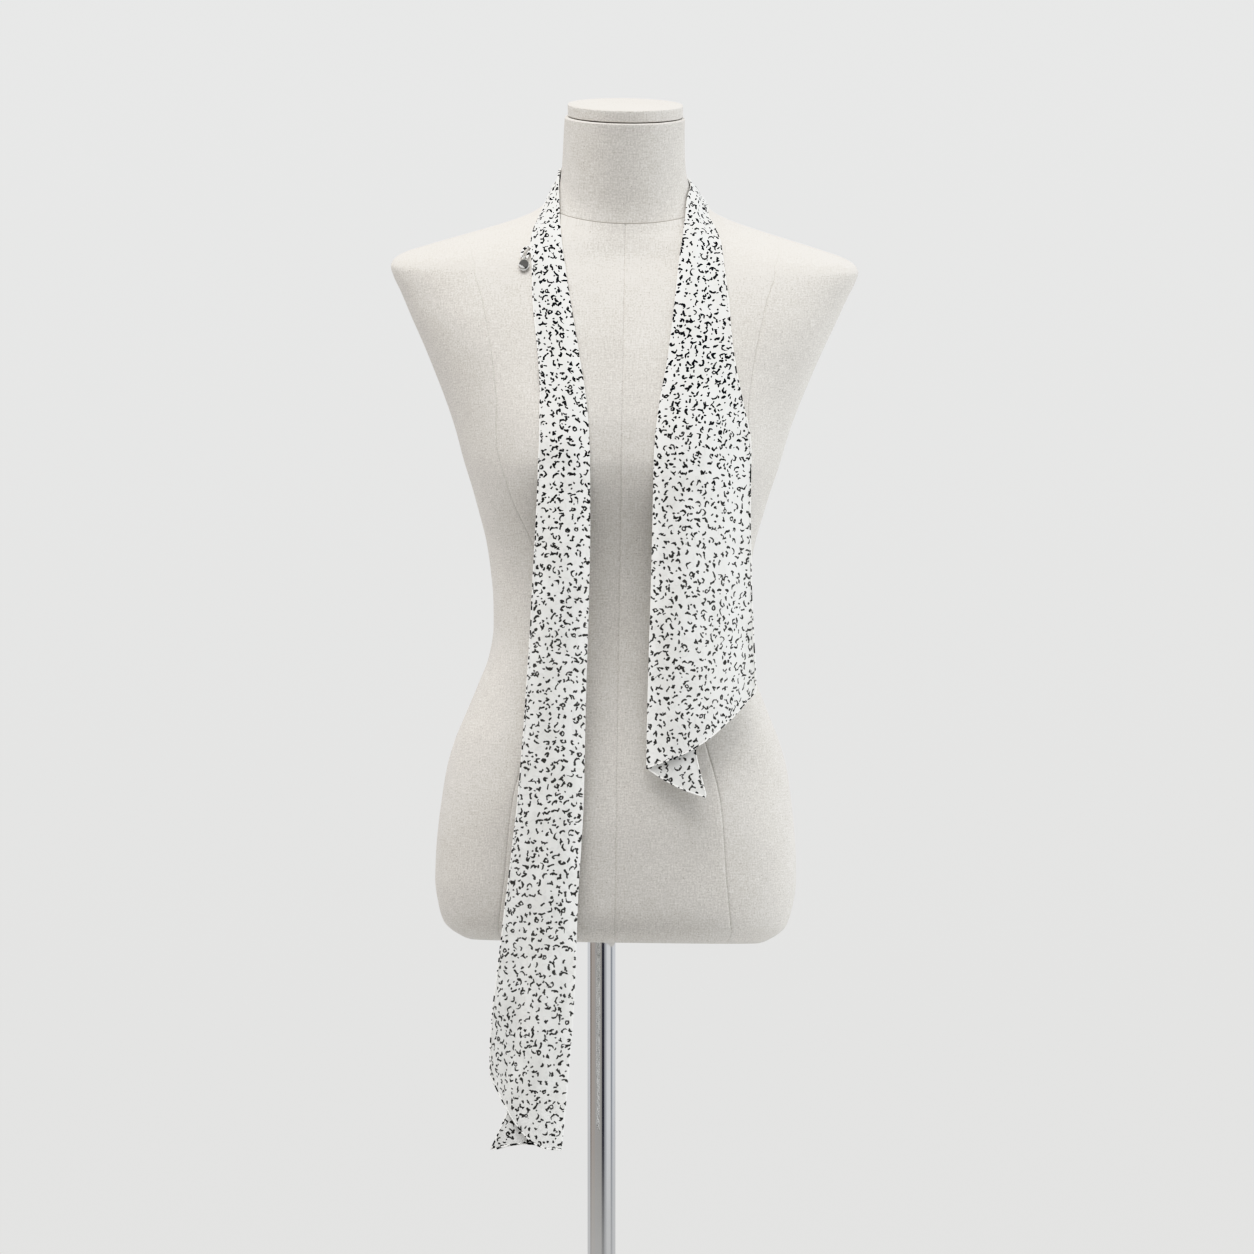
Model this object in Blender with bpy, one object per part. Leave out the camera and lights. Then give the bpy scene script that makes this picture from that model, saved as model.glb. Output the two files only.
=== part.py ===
"""A long, narrow sheer cravat laid round the neck of a limbless dress form.

Every length here is in millimetres and is turned into metres when a solid is made.
X is to the viewer's right, the front faces minus Y and Z is up. The origin is the
middle of the underside of the base plate, on the pole's axis. Heights in the tables
for the form, the neck and the cravat are measured from the form's underside.
"""

import math

import bmesh
import bpy
import numpy as np
from mathutils import Vector
from mathutils.bvhtree import BVHTree

FORM_UNDERSIDE = 760.0  # height of the form's underside over the floor
FORM_OFFSET = 12.0  # the form's middle is this far right of the pole at its underside
FORM_LEAN = 0.0146  # and moves right by this share of the height
FORM_ROLL = 0.0146  # the form's level lines drop by this share towards the right
FORM_SEGMENTS = 48
SEAM_GAP = 0.4  # between pieces that are sewn or fitted to each other

POLE_RADIUS = 12.7
POLE_FIT = 0.4  # all-round clearance of the pole in its socket and in the form
POLE_IN_FORM = 58.0
BORE_DEPTH = 60.0
BASE_RADIUS = 190.0
BASE_THICKNESS = 8.0
SOCKET_RADIUS = 24.0
SOCKET_HEIGHT = 56.0

CLOTH_WALL = 1.0
BACK_LAYER_OFF_FORM = 1.9  # middle of the back layer to the form
LAYER_PITCH = 2.4  # middle of the back layer to the middle of the front layer
PUFF = 1.6  # how much further the front layer stands off along its middle
FRONT_COLUMNS = 11
BACK_COLUMNS = 6
FOLD_COLUMNS = 3

CHARM_RADIUS = 6.2
CHARM_HALF_THICKNESS = 2.0
BAIL_BORE = 1.05
BAIL_RADIUS = 1.85
BAIL_WIDTH = 1.8
LOOP_RADIUS = 0.7
SWING_POINT = (-68.6, 615.5)  # across and up, where the charm's bail turns on its loop
SWING_OFF_FORM = 2.9

# Level sections of the body. Columns: height, half width, front depth, back depth,
# squareness, forward tilt of the section in degrees, middle of the section in Y.
BODY = (
    (0.0, 131.0, 78.0, 89.0, 2.3, -3.0, 0.0),
    (1.5, 136.0, 83.0, 94.0, 2.3, -3.0, 0.0),
    (4.0, 141.0, 88.0, 99.0, 2.3, -3.0, 0.0),
    (9.0, 149.0, 94.0, 106.0, 2.3, -2.9, 0.0),
    (16.0, 155.5, 98.5, 111.0, 2.3, -2.8, 0.0),
    (29.0, 160.0, 102.0, 115.5, 2.3, -2.5, 0.0),
    (55.0, 164.0, 104.0, 118.0, 2.3, -1.6, 0.0),
    (80.0, 163.5, 105.0, 120.0, 2.3, -0.9, 0.0),
    (106.0, 161.5, 106.0, 121.0, 2.3, -0.4, 0.0),
    (131.0, 158.5, 105.0, 118.5, 2.3, 0.0, 0.0),
    (157.0, 154.5, 102.5, 113.0, 2.25, 0.0, 0.0),
    (182.0, 147.5, 98.5, 105.0, 2.25, 0.0, 0.0),
    (207.0, 137.5, 94.0, 97.0, 2.2, 0.0, 0.0),
    (233.0, 127.0, 89.5, 90.0, 2.2, 0.0, 0.0),
    (258.0, 118.0, 86.0, 84.5, 2.2, 0.0, 0.0),
    (284.0, 114.2, 83.5, 81.0, 2.2, 0.0, 0.0),
    (309.0, 114.8, 82.5, 80.0, 2.2, 0.0, 0.0),
    (335.0, 117.5, 83.5, 81.5, 2.2, 0.0, 0.0),
    (360.0, 121.5, 86.5, 84.5, 2.2, 0.0, 0.0),
    (386.0, 128.3, 91.0, 89.5, 2.2, 0.0, 0.0),
    (411.0, 135.6, 96.0, 94.5, 2.2, 0.0, 0.0),
    (437.0, 144.0, 99.5, 99.0, 2.2, 0.0, 0.0),
    (462.0, 151.0, 99.5, 102.0, 2.2, 0.0, 0.5),
    (488.0, 160.0, 97.0, 104.0, 2.25, 0.0, 1.5),
    (513.0, 170.0, 93.0, 105.5, 2.3, 0.5, 3.0),
    (539.0, 181.0, 87.5, 106.0, 2.35, 1.5, 4.5),
    (564.0, 192.5, 80.5, 104.5, 2.35, 3.0, 6.0),
    (590.0, 204.0, 71.5, 101.0, 2.3, 5.0, 7.5),
    (602.0, 210.0, 67.0, 98.0, 2.25, 6.2, 8.0),
    (612.0, 213.0, 63.0, 95.0, 2.2, 7.5, 8.0),
    (618.0, 210.5, 60.5, 92.5, 2.15, 8.6, 8.0),
    (624.0, 201.5, 58.5, 89.5, 2.1, 9.8, 8.0),
    (631.0, 180.0, 56.5, 86.0, 2.05, 11.4, 8.0),
    (639.0, 152.0, 55.0, 82.0, 2.0, 13.2, 8.0),
    (647.0, 123.0, 54.0, 78.0, 2.0, 15.2, 8.0),
    (654.0, 100.0, 53.2, 74.5, 2.0, 17.0, 8.0),
    (661.0, 84.0, 52.5, 71.5, 2.0, 19.0, 8.0),
    (667.0, 75.7, 52.2, 69.5, 2.0, 20.6, 8.0),
    (672.0, 71.5, 52.0, 68.5, 2.0, 22.0, 8.0),
)
BODY_STEP = 27.0  # largest height from one modelled section to the next
CHEST_STEP = 13.5  # the same on the chest, where the cloth lies

# The soft fullness on each side of the chest.
BUST = {"across": 78.0, "height": 425.0, "depth": 25.0, "wide": 42.0, "up": 52.0,
        "down": 38.0}

# Sections of the neck from its seam up. Columns: height of the middle, half width,
# half depth, forward tilt in degrees, middle of the section in Y.
NECK = (
    (672.4, 71.0, 60.0, 22.0, 8.2),
    (678.5, 65.0, 58.5, 20.6, 6.7),
    (685.0, 61.3, 57.6, 19.2, 5.1),
    (693.0, 59.3, 57.1, 17.8, 3.1),
    (705.0, 58.3, 56.9, 16.2, 0.1),
    (722.0, 57.2, 56.6, 14.8, -4.1),
    (738.0, 56.5, 56.2, 14.1, -8.1),
    (747.0, 56.0, 55.9, 14.0, -10.4),
    (749.4, 54.6, 54.6, 14.0, -11.0),
)
CAP_RADIUS = 53.5
CAP_THICKNESS = 10.0
CAP_MIDDLE = (-11.05, 749.8)  # Y and height of the middle of its underside
CAP_TILT = 14.0

# The cravat's rails where it goes round the neck, from the left of the chest over the
# shoulder, behind the neck and on to the right of the chest. The fold is its upper
# edge. Columns: fold X, Y, height, free edges X, Y, height, and how far the back
# layer reaches from the fold as a share of the front layer's width.
ROUND_NECK = (
    (-27.3, -70.0, 576.0, -59.2, -58.0, 574.0, 0.62),
    (-31.0, -62.0, 600.0, -59.8, -46.0, 594.0, 0.66),
    (-34.4, -50.0, 625.0, -60.2, -34.0, 614.0, 0.72),
    (-36.0, -36.0, 647.0, -57.0, -20.0, 632.0, 0.78),
    (-36.6, -22.0, 668.0, -49.5, -6.0, 650.0, 0.84),
    (-36.8, -5.0, 684.0, -42.0, 6.0, 666.0, 0.88),
    (-34.5, 16.0, 699.0, -37.5, 24.0, 673.0, 0.90),
    (-25.0, 38.0, 709.0, -32.0, 46.0, 678.0, 0.90),
    (-10.0, 53.0, 715.0, -18.0, 67.0, 680.0, 0.90),
    (6.0, 61.0, 718.0, 4.0, 79.0, 681.0, 0.90),
    (22.0, 63.0, 719.0, 22.0, 82.0, 682.0, 0.90),
    (38.0, 61.0, 718.0, 40.0, 79.0, 681.0, 0.90),
    (54.0, 53.5, 713.0, 64.0, 68.0, 681.0, 0.90),
    (69.0, 37.5, 704.0, 81.5, 48.0, 677.0, 0.88),
    (77.0, 12.0, 692.0, 86.0, 22.0, 668.0, 0.84),
    (76.0, -14.0, 678.0, 88.5, 1.0, 656.0, 0.78),
    (75.0, -30.0, 660.0, 97.0, -14.0, 642.0, 0.72),
    (73.0, -40.0, 641.0, 102.5, -27.0, 625.0, 0.66),
    (70.2, -50.0, 619.0, 106.8, -37.0, 607.0, 0.60),
    (67.6, -58.0, 594.0, 109.6, -46.0, 587.0, 0.56),
)

# The hanging ends, from the chest down. Columns: fold X, height, front layer's free
# edge X, height, how far the front layer hangs below a straight line between them,
# then the same three for the back layer.
LONG_END = (
    (-20.0, 532.0, -55.8, 532.0, 0.0, -41.0, 532.0, 0.0),
    (-13.2, 487.0, -53.2, 487.0, 0.0, -36.0, 487.0, 0.0),
    (-10.0, 442.0, -54.0, 442.0, 0.0, -34.0, 442.0, 0.0),
    (-9.7, 380.0, -56.3, 380.0, 0.0, -34.0, 380.0, 0.0),
    (-10.9, 310.0, -60.3, 310.0, 0.0, -35.0, 310.0, 0.0),
    (-13.6, 221.0, -65.6, 222.0, 0.0, -38.0, 221.0, 0.0),
    (-15.5, 133.0, -72.2, 138.0, 0.0, -42.0, 133.0, 0.0),
    (-20.5, 44.5, -81.5, 60.0, 2.0, -49.0, 44.5, 0.0),
    (-23.8, -44.0, -90.5, -16.0, 7.0, -58.0, -44.0, 0.0),
    (-28.5, -106.0, -96.0, -64.0, 13.0, -70.0, -104.0, -1.0),
    (-31.8, -144.0, -97.4, -91.0, 17.0, -82.0, -142.0, -2.0),
    (-34.8, -176.5, -97.2, -112.0, 20.0, -97.2, -175.0, -2.5),
)
SHORT_END = (
    (60.2, 532.0, 117.2, 532.0, 0.0, 92.0, 532.0, 0.0),
    (52.5, 487.0, 124.5, 488.0, 0.0, 91.0, 487.0, 0.0),
    (47.6, 442.0, 132.6, 446.0, 0.0, 89.0, 442.0, 0.0),
    (46.2, 380.0, 132.4, 390.0, 0.0, 88.0, 379.0, 0.0),
    (44.4, 310.0, 133.0, 330.0, 2.0, 86.0, 306.0, 0.0),
    (42.4, 245.0, 135.0, 281.0, 5.0, 84.0, 238.0, 1.0),
    (41.2, 197.0, 136.8, 250.0, 8.0, 83.0, 182.0, 2.0),
    (40.6, 161.0, 137.4, 228.0, 11.0, 93.0, 135.0, 3.0),
)

FINISHES = {
    "linen": ((0.80, 0.765, 0.70, 1.0), 0.85, 0.0),
    "georgette": ((0.79, 0.77, 0.72, 1.0), 0.75, 0.0),
    "chrome": ((0.78, 0.78, 0.79, 1.0), 0.08, 1.0),
    "silver": ((0.62, 0.62, 0.63, 1.0), 0.12, 1.0),
    "painted": ((0.80, 0.79, 0.77, 1.0), 0.45, 0.0),
}


def clear_scene():
    for thing in list(bpy.data.objects):
        bpy.data.objects.remove(thing, do_unlink=True)
    for mesh in list(bpy.data.meshes):
        bpy.data.meshes.remove(mesh)


def eased(rows, at):
    """The columns of a table at one value of its first, eased without overshoot."""
    table = np.array(rows, float)
    key, value = table[:, 0], table[:, 1:]
    step = np.diff(key)[:, None]
    slope = np.diff(value, axis=0) / step
    lean = np.zeros_like(value)
    product = slope[1:] * slope[:-1]
    total = slope[1:] + slope[:-1]
    lean[1:-1] = np.where(product > 0, 2 * product / np.where(total == 0, 1, total), 0)
    lean[0], lean[-1] = slope[0], slope[-1]
    k = int(np.clip(np.searchsorted(key, at, side="right") - 1, 0, len(key) - 2))
    width = step[k, 0]
    f = (at - key[k]) / width
    return (
        (1 + 2 * f) * (1 - f) ** 2 * value[k]
        + f * (1 - f) ** 2 * width * lean[k]
        + f * f * (3 - 2 * f) * value[k + 1]
        + f * f * (f - 1) * width * lean[k + 1]
    )


def middle_x(height):
    return FORM_OFFSET + FORM_LEAN * height


def finished(name, finish, slot, mesh, parent=None, origin=(0.0, 0.0, 0.0)):
    """An object for a mesh, with its own material and smooth shading."""
    item = bpy.data.objects.new(name, mesh)
    bpy.context.collection.objects.link(item)
    item.location = [length / 1000 for length in origin]
    item.parent = parent
    colour, rough, metal = FINISHES[finish]
    material = bpy.data.materials.new(slot)
    material.use_nodes = True
    shader = material.node_tree.nodes["Principled BSDF"]
    shader.inputs["Base Color"].default_value = colour
    shader.inputs["Roughness"].default_value = rough
    shader.inputs["Metallic"].default_value = metal
    mesh.materials.append(material)
    mesh.shade_smooth()
    mesh.set_sharp_from_angle(angle=math.radians(40))
    return item


def make_solid(name, points, faces, finish, slot, parent=None, origin=(0.0, 0.0, 0.0)):
    """A closed mesh object with its faces outwards, made from millimetre points."""
    mesh = bpy.data.meshes.new(name)
    placed = [[(p - o) / 1000 for p, o in zip(point, origin)] for point in points]
    mesh.from_pydata(placed, [], faces)
    work = bmesh.new()
    work.from_mesh(mesh)
    bmesh.ops.recalc_face_normals(work, faces=work.faces)
    work.to_mesh(mesh)
    work.free()
    return finished(name, finish, slot, mesh, parent, origin)


def stacked(rings, closed_ends=True):
    """Faces that join rings of equal length, one after another, with flat ends."""
    count = len(rings[0])
    points = [p for ring in rings for p in ring]
    faces = []
    for r in range(len(rings) - 1):
        for c in range(count):
            d = (c + 1) % count
            low, high = r * count, (r + 1) * count
            faces.append((low + c, low + d, high + d, high + c))
    if closed_ends:
        faces.append(tuple(reversed(range(count))))
        faces.append(tuple(range(len(points) - count, len(points))))
    return points, faces


def upright_bar(name, radius, low, high, edge, segments, finish, slot):
    """A round bar or disc on the pole's axis with its rims bevelled."""
    mesh = bpy.data.meshes.new(name)
    work = bmesh.new()
    bmesh.ops.create_cone(work, cap_ends=True, segments=segments, radius1=radius / 1000,
                          radius2=radius / 1000, depth=(high - low) / 1000)
    rims = [e for e in work.edges if abs(e.verts[0].co.z - e.verts[1].co.z) < 1e-7]
    bmesh.ops.bevel(work, geom=rims, offset=edge / 1000, segments=2, affect="EDGES",
                    profile=0.5)
    bmesh.ops.translate(work, verts=work.verts, vec=(0, 0, (high - low) / 2000))
    work.to_mesh(mesh)
    work.free()
    return finished(name, finish, slot, mesh, origin=(0.0, 0.0, low))


def spun(name, profile, low, segments, finish, slot):
    """A ring turned on the pole's axis from a closed profile of radius and height."""
    mesh = bpy.data.meshes.new(name)
    work = bmesh.new()
    corners = [work.verts.new((r / 1000, 0.0, z / 1000)) for r, z in profile]
    face = work.faces.new(corners)
    bmesh.ops.spin(work, geom=[face], cent=(0, 0, 0), axis=(0, 0, 1), steps=segments,
                   angle=2 * math.pi, use_merge=True, use_duplicate=False)
    inner = [f for f in work.faces if len(f.verts) > 4]
    bmesh.ops.delete(work, geom=inner, context="FACES_ONLY")
    bmesh.ops.remove_doubles(work, verts=work.verts, dist=1e-6)
    bmesh.ops.recalc_face_normals(work, faces=work.faces)
    work.to_mesh(mesh)
    work.free()
    return finished(name, finish, slot, mesh, origin=(0.0, 0.0, low))


def body_point(height, angle):
    """A point of the body's surface; angle 0 is the right side, 270 the front."""
    half, front, back, square, tilt, mid_y = eased(BODY, height)
    c, s = math.cos(math.radians(angle)), math.sin(math.radians(angle))
    power = 2.0 / square
    across = math.copysign(abs(c) ** power, c) * half
    depth = (back - mid_y) if s > 0 else (front + mid_y)
    deep = math.copysign(abs(s) ** power, s) * depth
    if s < 0:
        rise = height - BUST["height"]
        spread = BUST["up"] if rise > 0 else BUST["down"]
        level = math.exp(-0.5 * (rise / spread) ** 2) * BUST["depth"] * abs(s) ** 0.7
        for side in (-1, 1):
            off = (across - side * BUST["across"]) / BUST["wide"]
            deep -= level * math.exp(-0.5 * off * off)
    x = middle_x(height) + across
    z = height + deep * math.tan(math.radians(tilt)) - across * FORM_ROLL
    return (x, mid_y + deep, z)


def body_heights():
    heights = [BODY[0][0]]
    for row, following in zip(BODY, BODY[1:]):
        step = CHEST_STEP if row[0] >= HANGS_BELOW else BODY_STEP
        parts = math.ceil((following[0] - row[0]) / step)
        for p in range(1, parts + 1):
            heights.append(row[0] + (following[0] - row[0]) * p / parts)
    return heights


def make_body():
    """The body with its flat underside and the blind bore that takes the pole."""
    angles = [360 * s / FORM_SEGMENTS for s in range(FORM_SEGMENTS)]
    rings = [[body_point(h, a) for a in angles] for h in body_heights()]
    bore = []
    for height, follow in ((0.0, 1.0), (BORE_DEPTH, 0.0)):
        ring = []
        for a in angles:
            x = (POLE_RADIUS + POLE_FIT) * math.cos(math.radians(a))
            y = (POLE_RADIUS + POLE_FIT) * math.sin(math.radians(a))
            tilted = -y * math.tan(math.radians(3.0)) - (x - FORM_OFFSET) * FORM_ROLL
            ring.append((x, y, height + follow * tilted))
        bore.append(ring)
    points, faces = stacked([bore[1], bore[0]] + rings)
    return points, faces


def make_neck():
    rings = []
    for height, half, deep, tilt, mid_y in NECK:
        ring = []
        for s in range(FORM_SEGMENTS):
            a = 2 * math.pi * s / FORM_SEGMENTS
            x, y = half * math.cos(a), deep * math.sin(a)
            z = height + y * math.tan(math.radians(tilt)) - x * FORM_ROLL
            ring.append((middle_x(height) + x, mid_y + y, z))
        rings.append(ring)
    return stacked(rings)


def make_cap():
    profile = ((CAP_RADIUS - 1.2, 0.0), (CAP_RADIUS, 1.2), (CAP_RADIUS, 7.0),
               (CAP_RADIUS - 0.9, 9.0), (CAP_RADIUS - 3.0, CAP_THICKNESS))
    lean = math.radians(CAP_TILT)
    rings = []
    for radius, up in profile:
        ring = []
        for s in range(FORM_SEGMENTS):
            a = 2 * math.pi * s / FORM_SEGMENTS
            x, y = radius * math.cos(a), radius * math.sin(a)
            ring.append((
                middle_x(CAP_MIDDLE[1]) + x,
                CAP_MIDDLE[0] + y * math.cos(lean) - up * math.sin(lean),
                CAP_MIDDLE[1] + y * math.sin(lean) + up * math.cos(lean) - x * FORM_ROLL,
            ))
        rings.append(ring)
    return stacked(rings)


class Form:
    """The sides of the body and neck, as one surface that cloth can be laid on."""

    def __init__(self, shells):
        points, faces = [], []
        for shell_points, shell_faces in shells:
            start = len(points)
            points += [Vector(p) for p in shell_points]
            sides = [face for face in shell_faces if len(face) == 4]
            faces += [tuple(start + i for i in face) for face in sides]
        self.tree = BVHTree.FromPolygons(points, faces)

    def front(self, x, height):
        """Y of the front of the form at one place seen from the front."""
        hit = self.tree.ray_cast(Vector((x, -400.0, height)), Vector((0, 1, 0)))
        return hit[0].y if hit[0] is not None else 0.0

    def clear(self, point, distance):
        """The point itself, or moved out until it is this far from the form."""
        point = Vector(point)
        for _ in range(3):
            near, normal, _, _ = self.tree.find_nearest(point)
            off = (point - near).dot(normal)
            if off >= distance:
                break
            point = near + normal * distance
        return np.array(point)


def rails(form):
    """The fold, the front free edge and the back free edge, end to end, with dips."""
    rows = []

    def hanging(table, reach):
        found, lowest = [], [0.0, 0.0, 0.0]
        for fold_x, fold_h, free_x, free_h, dip, back_x, back_h, back_dip in table:
            line = []
            places = ((fold_x, fold_h), (free_x, free_h), (back_x, back_h))
            for n, (x, h) in enumerate(places):
                lowest[n] = min(lowest[n], form.front(x, h))
                line += [x, lowest[n], h]
            found.append(line + [dip, back_dip])
        return found

    rows += list(reversed(hanging(LONG_END, -1)))
    for row in ROUND_NECK:
        fold, free, share = np.array(row[0:3]), np.array(row[3:6]), row[6]
        back = fold + (free - fold) * share
        rows.append(list(fold) + list(free) + list(back) + [0.0, 0.0])
    rows += hanging(SHORT_END, 1)
    return np.array(rows)


def stations(rows):
    """Distance along the cravat at each row, from the foot of the long end."""
    middle = (rows[:, 0:3] + rows[:, 3:6]) / 2
    step = np.linalg.norm(np.diff(middle, axis=0), axis=1)
    return np.concatenate([[0.0], np.cumsum(step)])


def laid(form, fold, edge, dips, columns, side):
    """A layer between two rails, lifted clear of the form; a row for each station."""
    grid = np.zeros((len(fold), columns, 3))
    for r in range(len(fold)):
        for c in range(columns):
            u = c / (columns - 1)
            point = fold[r] * (1 - u) + edge[r] * u
            point[2] -= dips[r] * (4 * u * (1 - u)) ** 0.75
            grid[r, c] = point
    for r in range(len(fold)):
        for c in range(columns):
            if side[r]:
                x, _, h = grid[r, c]
                grid[r, c, 1] = min(grid[r, c, 1], form.front(x, h))
            else:
                grid[r, c] = form.clear(grid[r, c], 0.0)
    return grid


def plumb(grid, side):
    """Below the fullest part of the chest the cloth hangs straight down."""
    for r in range(len(grid) - 2, -1, -1):
        if side[r] < 0:
            grid[r, :, 1] = np.minimum(grid[r, :, 1], grid[r + 1, :, 1])
    for r in range(1, len(grid)):
        if side[r] > 0:
            grid[r, :, 1] = np.minimum(grid[r, :, 1], grid[r - 1, :, 1])
    return grid


def grid_normals(grid):
    along = np.gradient(grid, axis=0)
    across = np.gradient(grid, axis=1)
    normal = np.cross(along, across)
    return normal / np.maximum(np.linalg.norm(normal, axis=2, keepdims=True), 1e-9)


def folded_sheet(form, rows, side):
    """The middle surface of the folded strip: back layer, fold, then front layer."""
    fold, free, back = rows[:, 0:3], rows[:, 3:6], rows[:, 6:9]
    front = plumb(laid(form, fold, free, rows[:, 9], FRONT_COLUMNS, side), side)
    behind = plumb(laid(form, fold, back, rows[:, 10], BACK_COLUMNS, side), side)
    outward = grid_normals(front)
    outward_back = grid_normals(behind)
    across = (front[:, 1] - front[:, 0])
    across /= np.linalg.norm(across, axis=1)[:, None]
    columns = []
    bend = LAYER_PITCH / 2
    for c in reversed(range(BACK_COLUMNS)):
        shift = bend * across if c == 0 else 0.0
        spots = behind[:, c] + outward_back[:, c] * BACK_LAYER_OFF_FORM + shift
        columns.append((spots, BACK_LAYER_OFF_FORM))
    start = front[:, 0] + outward[:, 0] * (BACK_LAYER_OFF_FORM + bend)
    for n in range(1, FOLD_COLUMNS + 1):
        a = math.pi * n / (FOLD_COLUMNS + 1)
        spots = start + across * bend * (1 - math.sin(a))
        spots = spots - outward[:, 0] * bend * math.cos(a)
        columns.append((spots, BACK_LAYER_OFF_FORM + bend * (1 - math.cos(a))))
    for c in range(FRONT_COLUMNS):
        u = c / (FRONT_COLUMNS - 1)
        lift = BACK_LAYER_OFF_FORM + LAYER_PITCH
        puff = PUFF * math.sin(math.pi * min(1.0, u * 1.15)) ** 2
        shift = bend * across if c == 0 else 0.0
        columns.append((front[:, c] + outward[:, c] * (lift + puff) + shift, lift))
    cleared = [[form.clear(spot, distance - 0.05) for spot in spots]
               for spots, distance in columns]
    return np.array(cleared).transpose(1, 0, 2)


def wall(sheet, normal, thickness):
    """A closed wall of even thickness about a middle surface."""
    rows, columns = sheet.shape[:2]
    sides = [sheet + normal * thickness / 2, sheet - normal * thickness / 2]
    points = [tuple(p) for side in sides for row in side for p in row]
    half = rows * columns

    def at(side, r, c):
        return side * half + r * columns + c

    faces = []
    for r in range(rows - 1):
        for c in range(columns - 1):
            faces.append((at(0, r, c), at(0, r, c + 1), at(0, r + 1, c + 1), at(0, r + 1, c)))
            faces.append((at(1, r, c), at(1, r + 1, c), at(1, r + 1, c + 1), at(1, r, c + 1)))
        for c in (0, columns - 1):
            faces.append((at(0, r, c), at(0, r + 1, c), at(1, r + 1, c), at(1, r, c)))
    for c in range(columns - 1):
        for r in (0, rows - 1):
            faces.append((at(0, r, c), at(1, r, c), at(1, r, c + 1), at(0, r, c + 1)))
    return points, faces


# The stretches that show. Columns: name, first row, last row.
STRETCHES = (
    ("cravat_long_end", 0, 18),
    ("cravat_back_neck", 18, 26),
    ("cravat_short_end", 26, 39),
)
STEP_ON_FORM = 14.0  # from one modelled section of cloth to the next, on the form
STEP_HANGING = 34.0  # and where it hangs clear below the chest
HANGS_BELOW = 400.0
CLOTH_SEAM_GAP = 0.9  # along the middle of the strip, where two stretches meet


def make_cravat(form):
    """The whole strip is laid once and then parted where its stretches meet."""
    control = rails(form)
    along = stations(control)
    table = np.column_stack([along, control])
    low_end, high_end = len(LONG_END) - 1, len(control) - len(SHORT_END)
    places, counts = [], []
    for name, start, end in STRETCHES:
        place = [along[start]]
        for k in range(start, end):
            low = max(control[k, 2], control[k + 1, 2]) <= HANGS_BELOW
            parts = math.ceil((along[k + 1] - along[k])
                              / (STEP_HANGING if low else STEP_ON_FORM))
            place += [along[k] + (along[k + 1] - along[k]) * n / parts
                      for n in range(1, parts + 1)]
        place[0] += CLOTH_SEAM_GAP / 2 if start > 0 else 0.0
        place[-1] -= CLOTH_SEAM_GAP / 2 if end < len(along) - 1 else 0.0
        places += place
        counts.append(len(place))
    rows = np.array([eased(table, s) for s in places])
    side = [-1 if s <= along[low_end] else 1 if s >= along[high_end] else 0
            for s in places]
    sheet = folded_sheet(form, rows, side)
    normal = grid_normals(sheet)
    made, first = {}, 0
    for (name, *_), count in zip(STRETCHES, counts):
        made[name] = (sheet[first:first + count], normal[first:first + count])
        first += count
    return made


def swept_tube(path, radius, segments):
    """Rings of one radius along a path of points."""
    path = np.array(path, float)
    ahead = np.gradient(path, axis=0)
    rings, side = [], None
    for point, way in zip(path, ahead):
        way = way / np.linalg.norm(way)
        if side is None:
            side = np.cross(way, (0.0, 1.0, 0.3))
        side = side - way * side.dot(way)
        side /= np.linalg.norm(side)
        other = np.cross(way, side)
        rings.append([
            tuple(point + radius * (math.cos(a) * side + math.sin(a) * other))
            for a in (2 * math.pi * s / segments for s in range(segments))
        ])
    return stacked(rings)


def charm_place(form):
    """The swing point, with the ways down the chest, away from it and across it."""
    x, height = SWING_POINT
    reach = CHARM_RADIUS
    low = form.front(x, height - 2.5 * reach)
    up = np.array((0.0, form.front(x, height) - low, 2.5 * reach))
    right = np.array((2 * reach, form.front(x + reach, height - reach)
                      - form.front(x - reach, height - reach), 0.0))
    out = np.cross(right, up)
    out /= np.linalg.norm(out)
    side = np.cross((0.0, 0.0, 1.0), out)
    side /= -np.linalg.norm(side)
    down = np.cross(side, out)
    down *= -np.sign(down[2])
    point = np.array((x, form.front(x, height), height)) + out * SWING_OFF_FORM
    return point, down, out, side * np.sign(side[0])


def make_charm(form):
    point, down, out, side = charm_place(form)
    middle = point + down * (CHARM_RADIUS + 1.4)
    rings = []
    for radius, off in ((1.5, -1.0), (4.1, -0.94), (5.5, -0.62), (CHARM_RADIUS, 0.0),
                        (5.5, 0.62), (4.1, 0.94), (1.5, 1.0)):
        ring = []
        for s in range(28):
            a = 2 * math.pi * s / 28
            spot = middle + out * off * CHARM_HALF_THICKNESS
            spot = spot + radius * (math.cos(a) * side + math.sin(a) * down)
            ring.append(tuple(spot))
        rings.append(ring)
    pebble = stacked(rings)
    bail_rings = []
    for radius, off in ((BAIL_BORE, -0.5), (BAIL_RADIUS, -0.5), (BAIL_RADIUS, 0.5),
                        (BAIL_BORE, 0.5)):
        ring = []
        for s in range(20):
            a = 2 * math.pi * s / 20
            spot = point + side * off * BAIL_WIDTH
            ring.append(tuple(spot + radius * (math.cos(a) * out + math.sin(a) * down)))
        bail_rings.append(ring)
    bail = stacked(bail_rings + [bail_rings[0]], closed_ends=False)
    return pebble, bail


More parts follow.
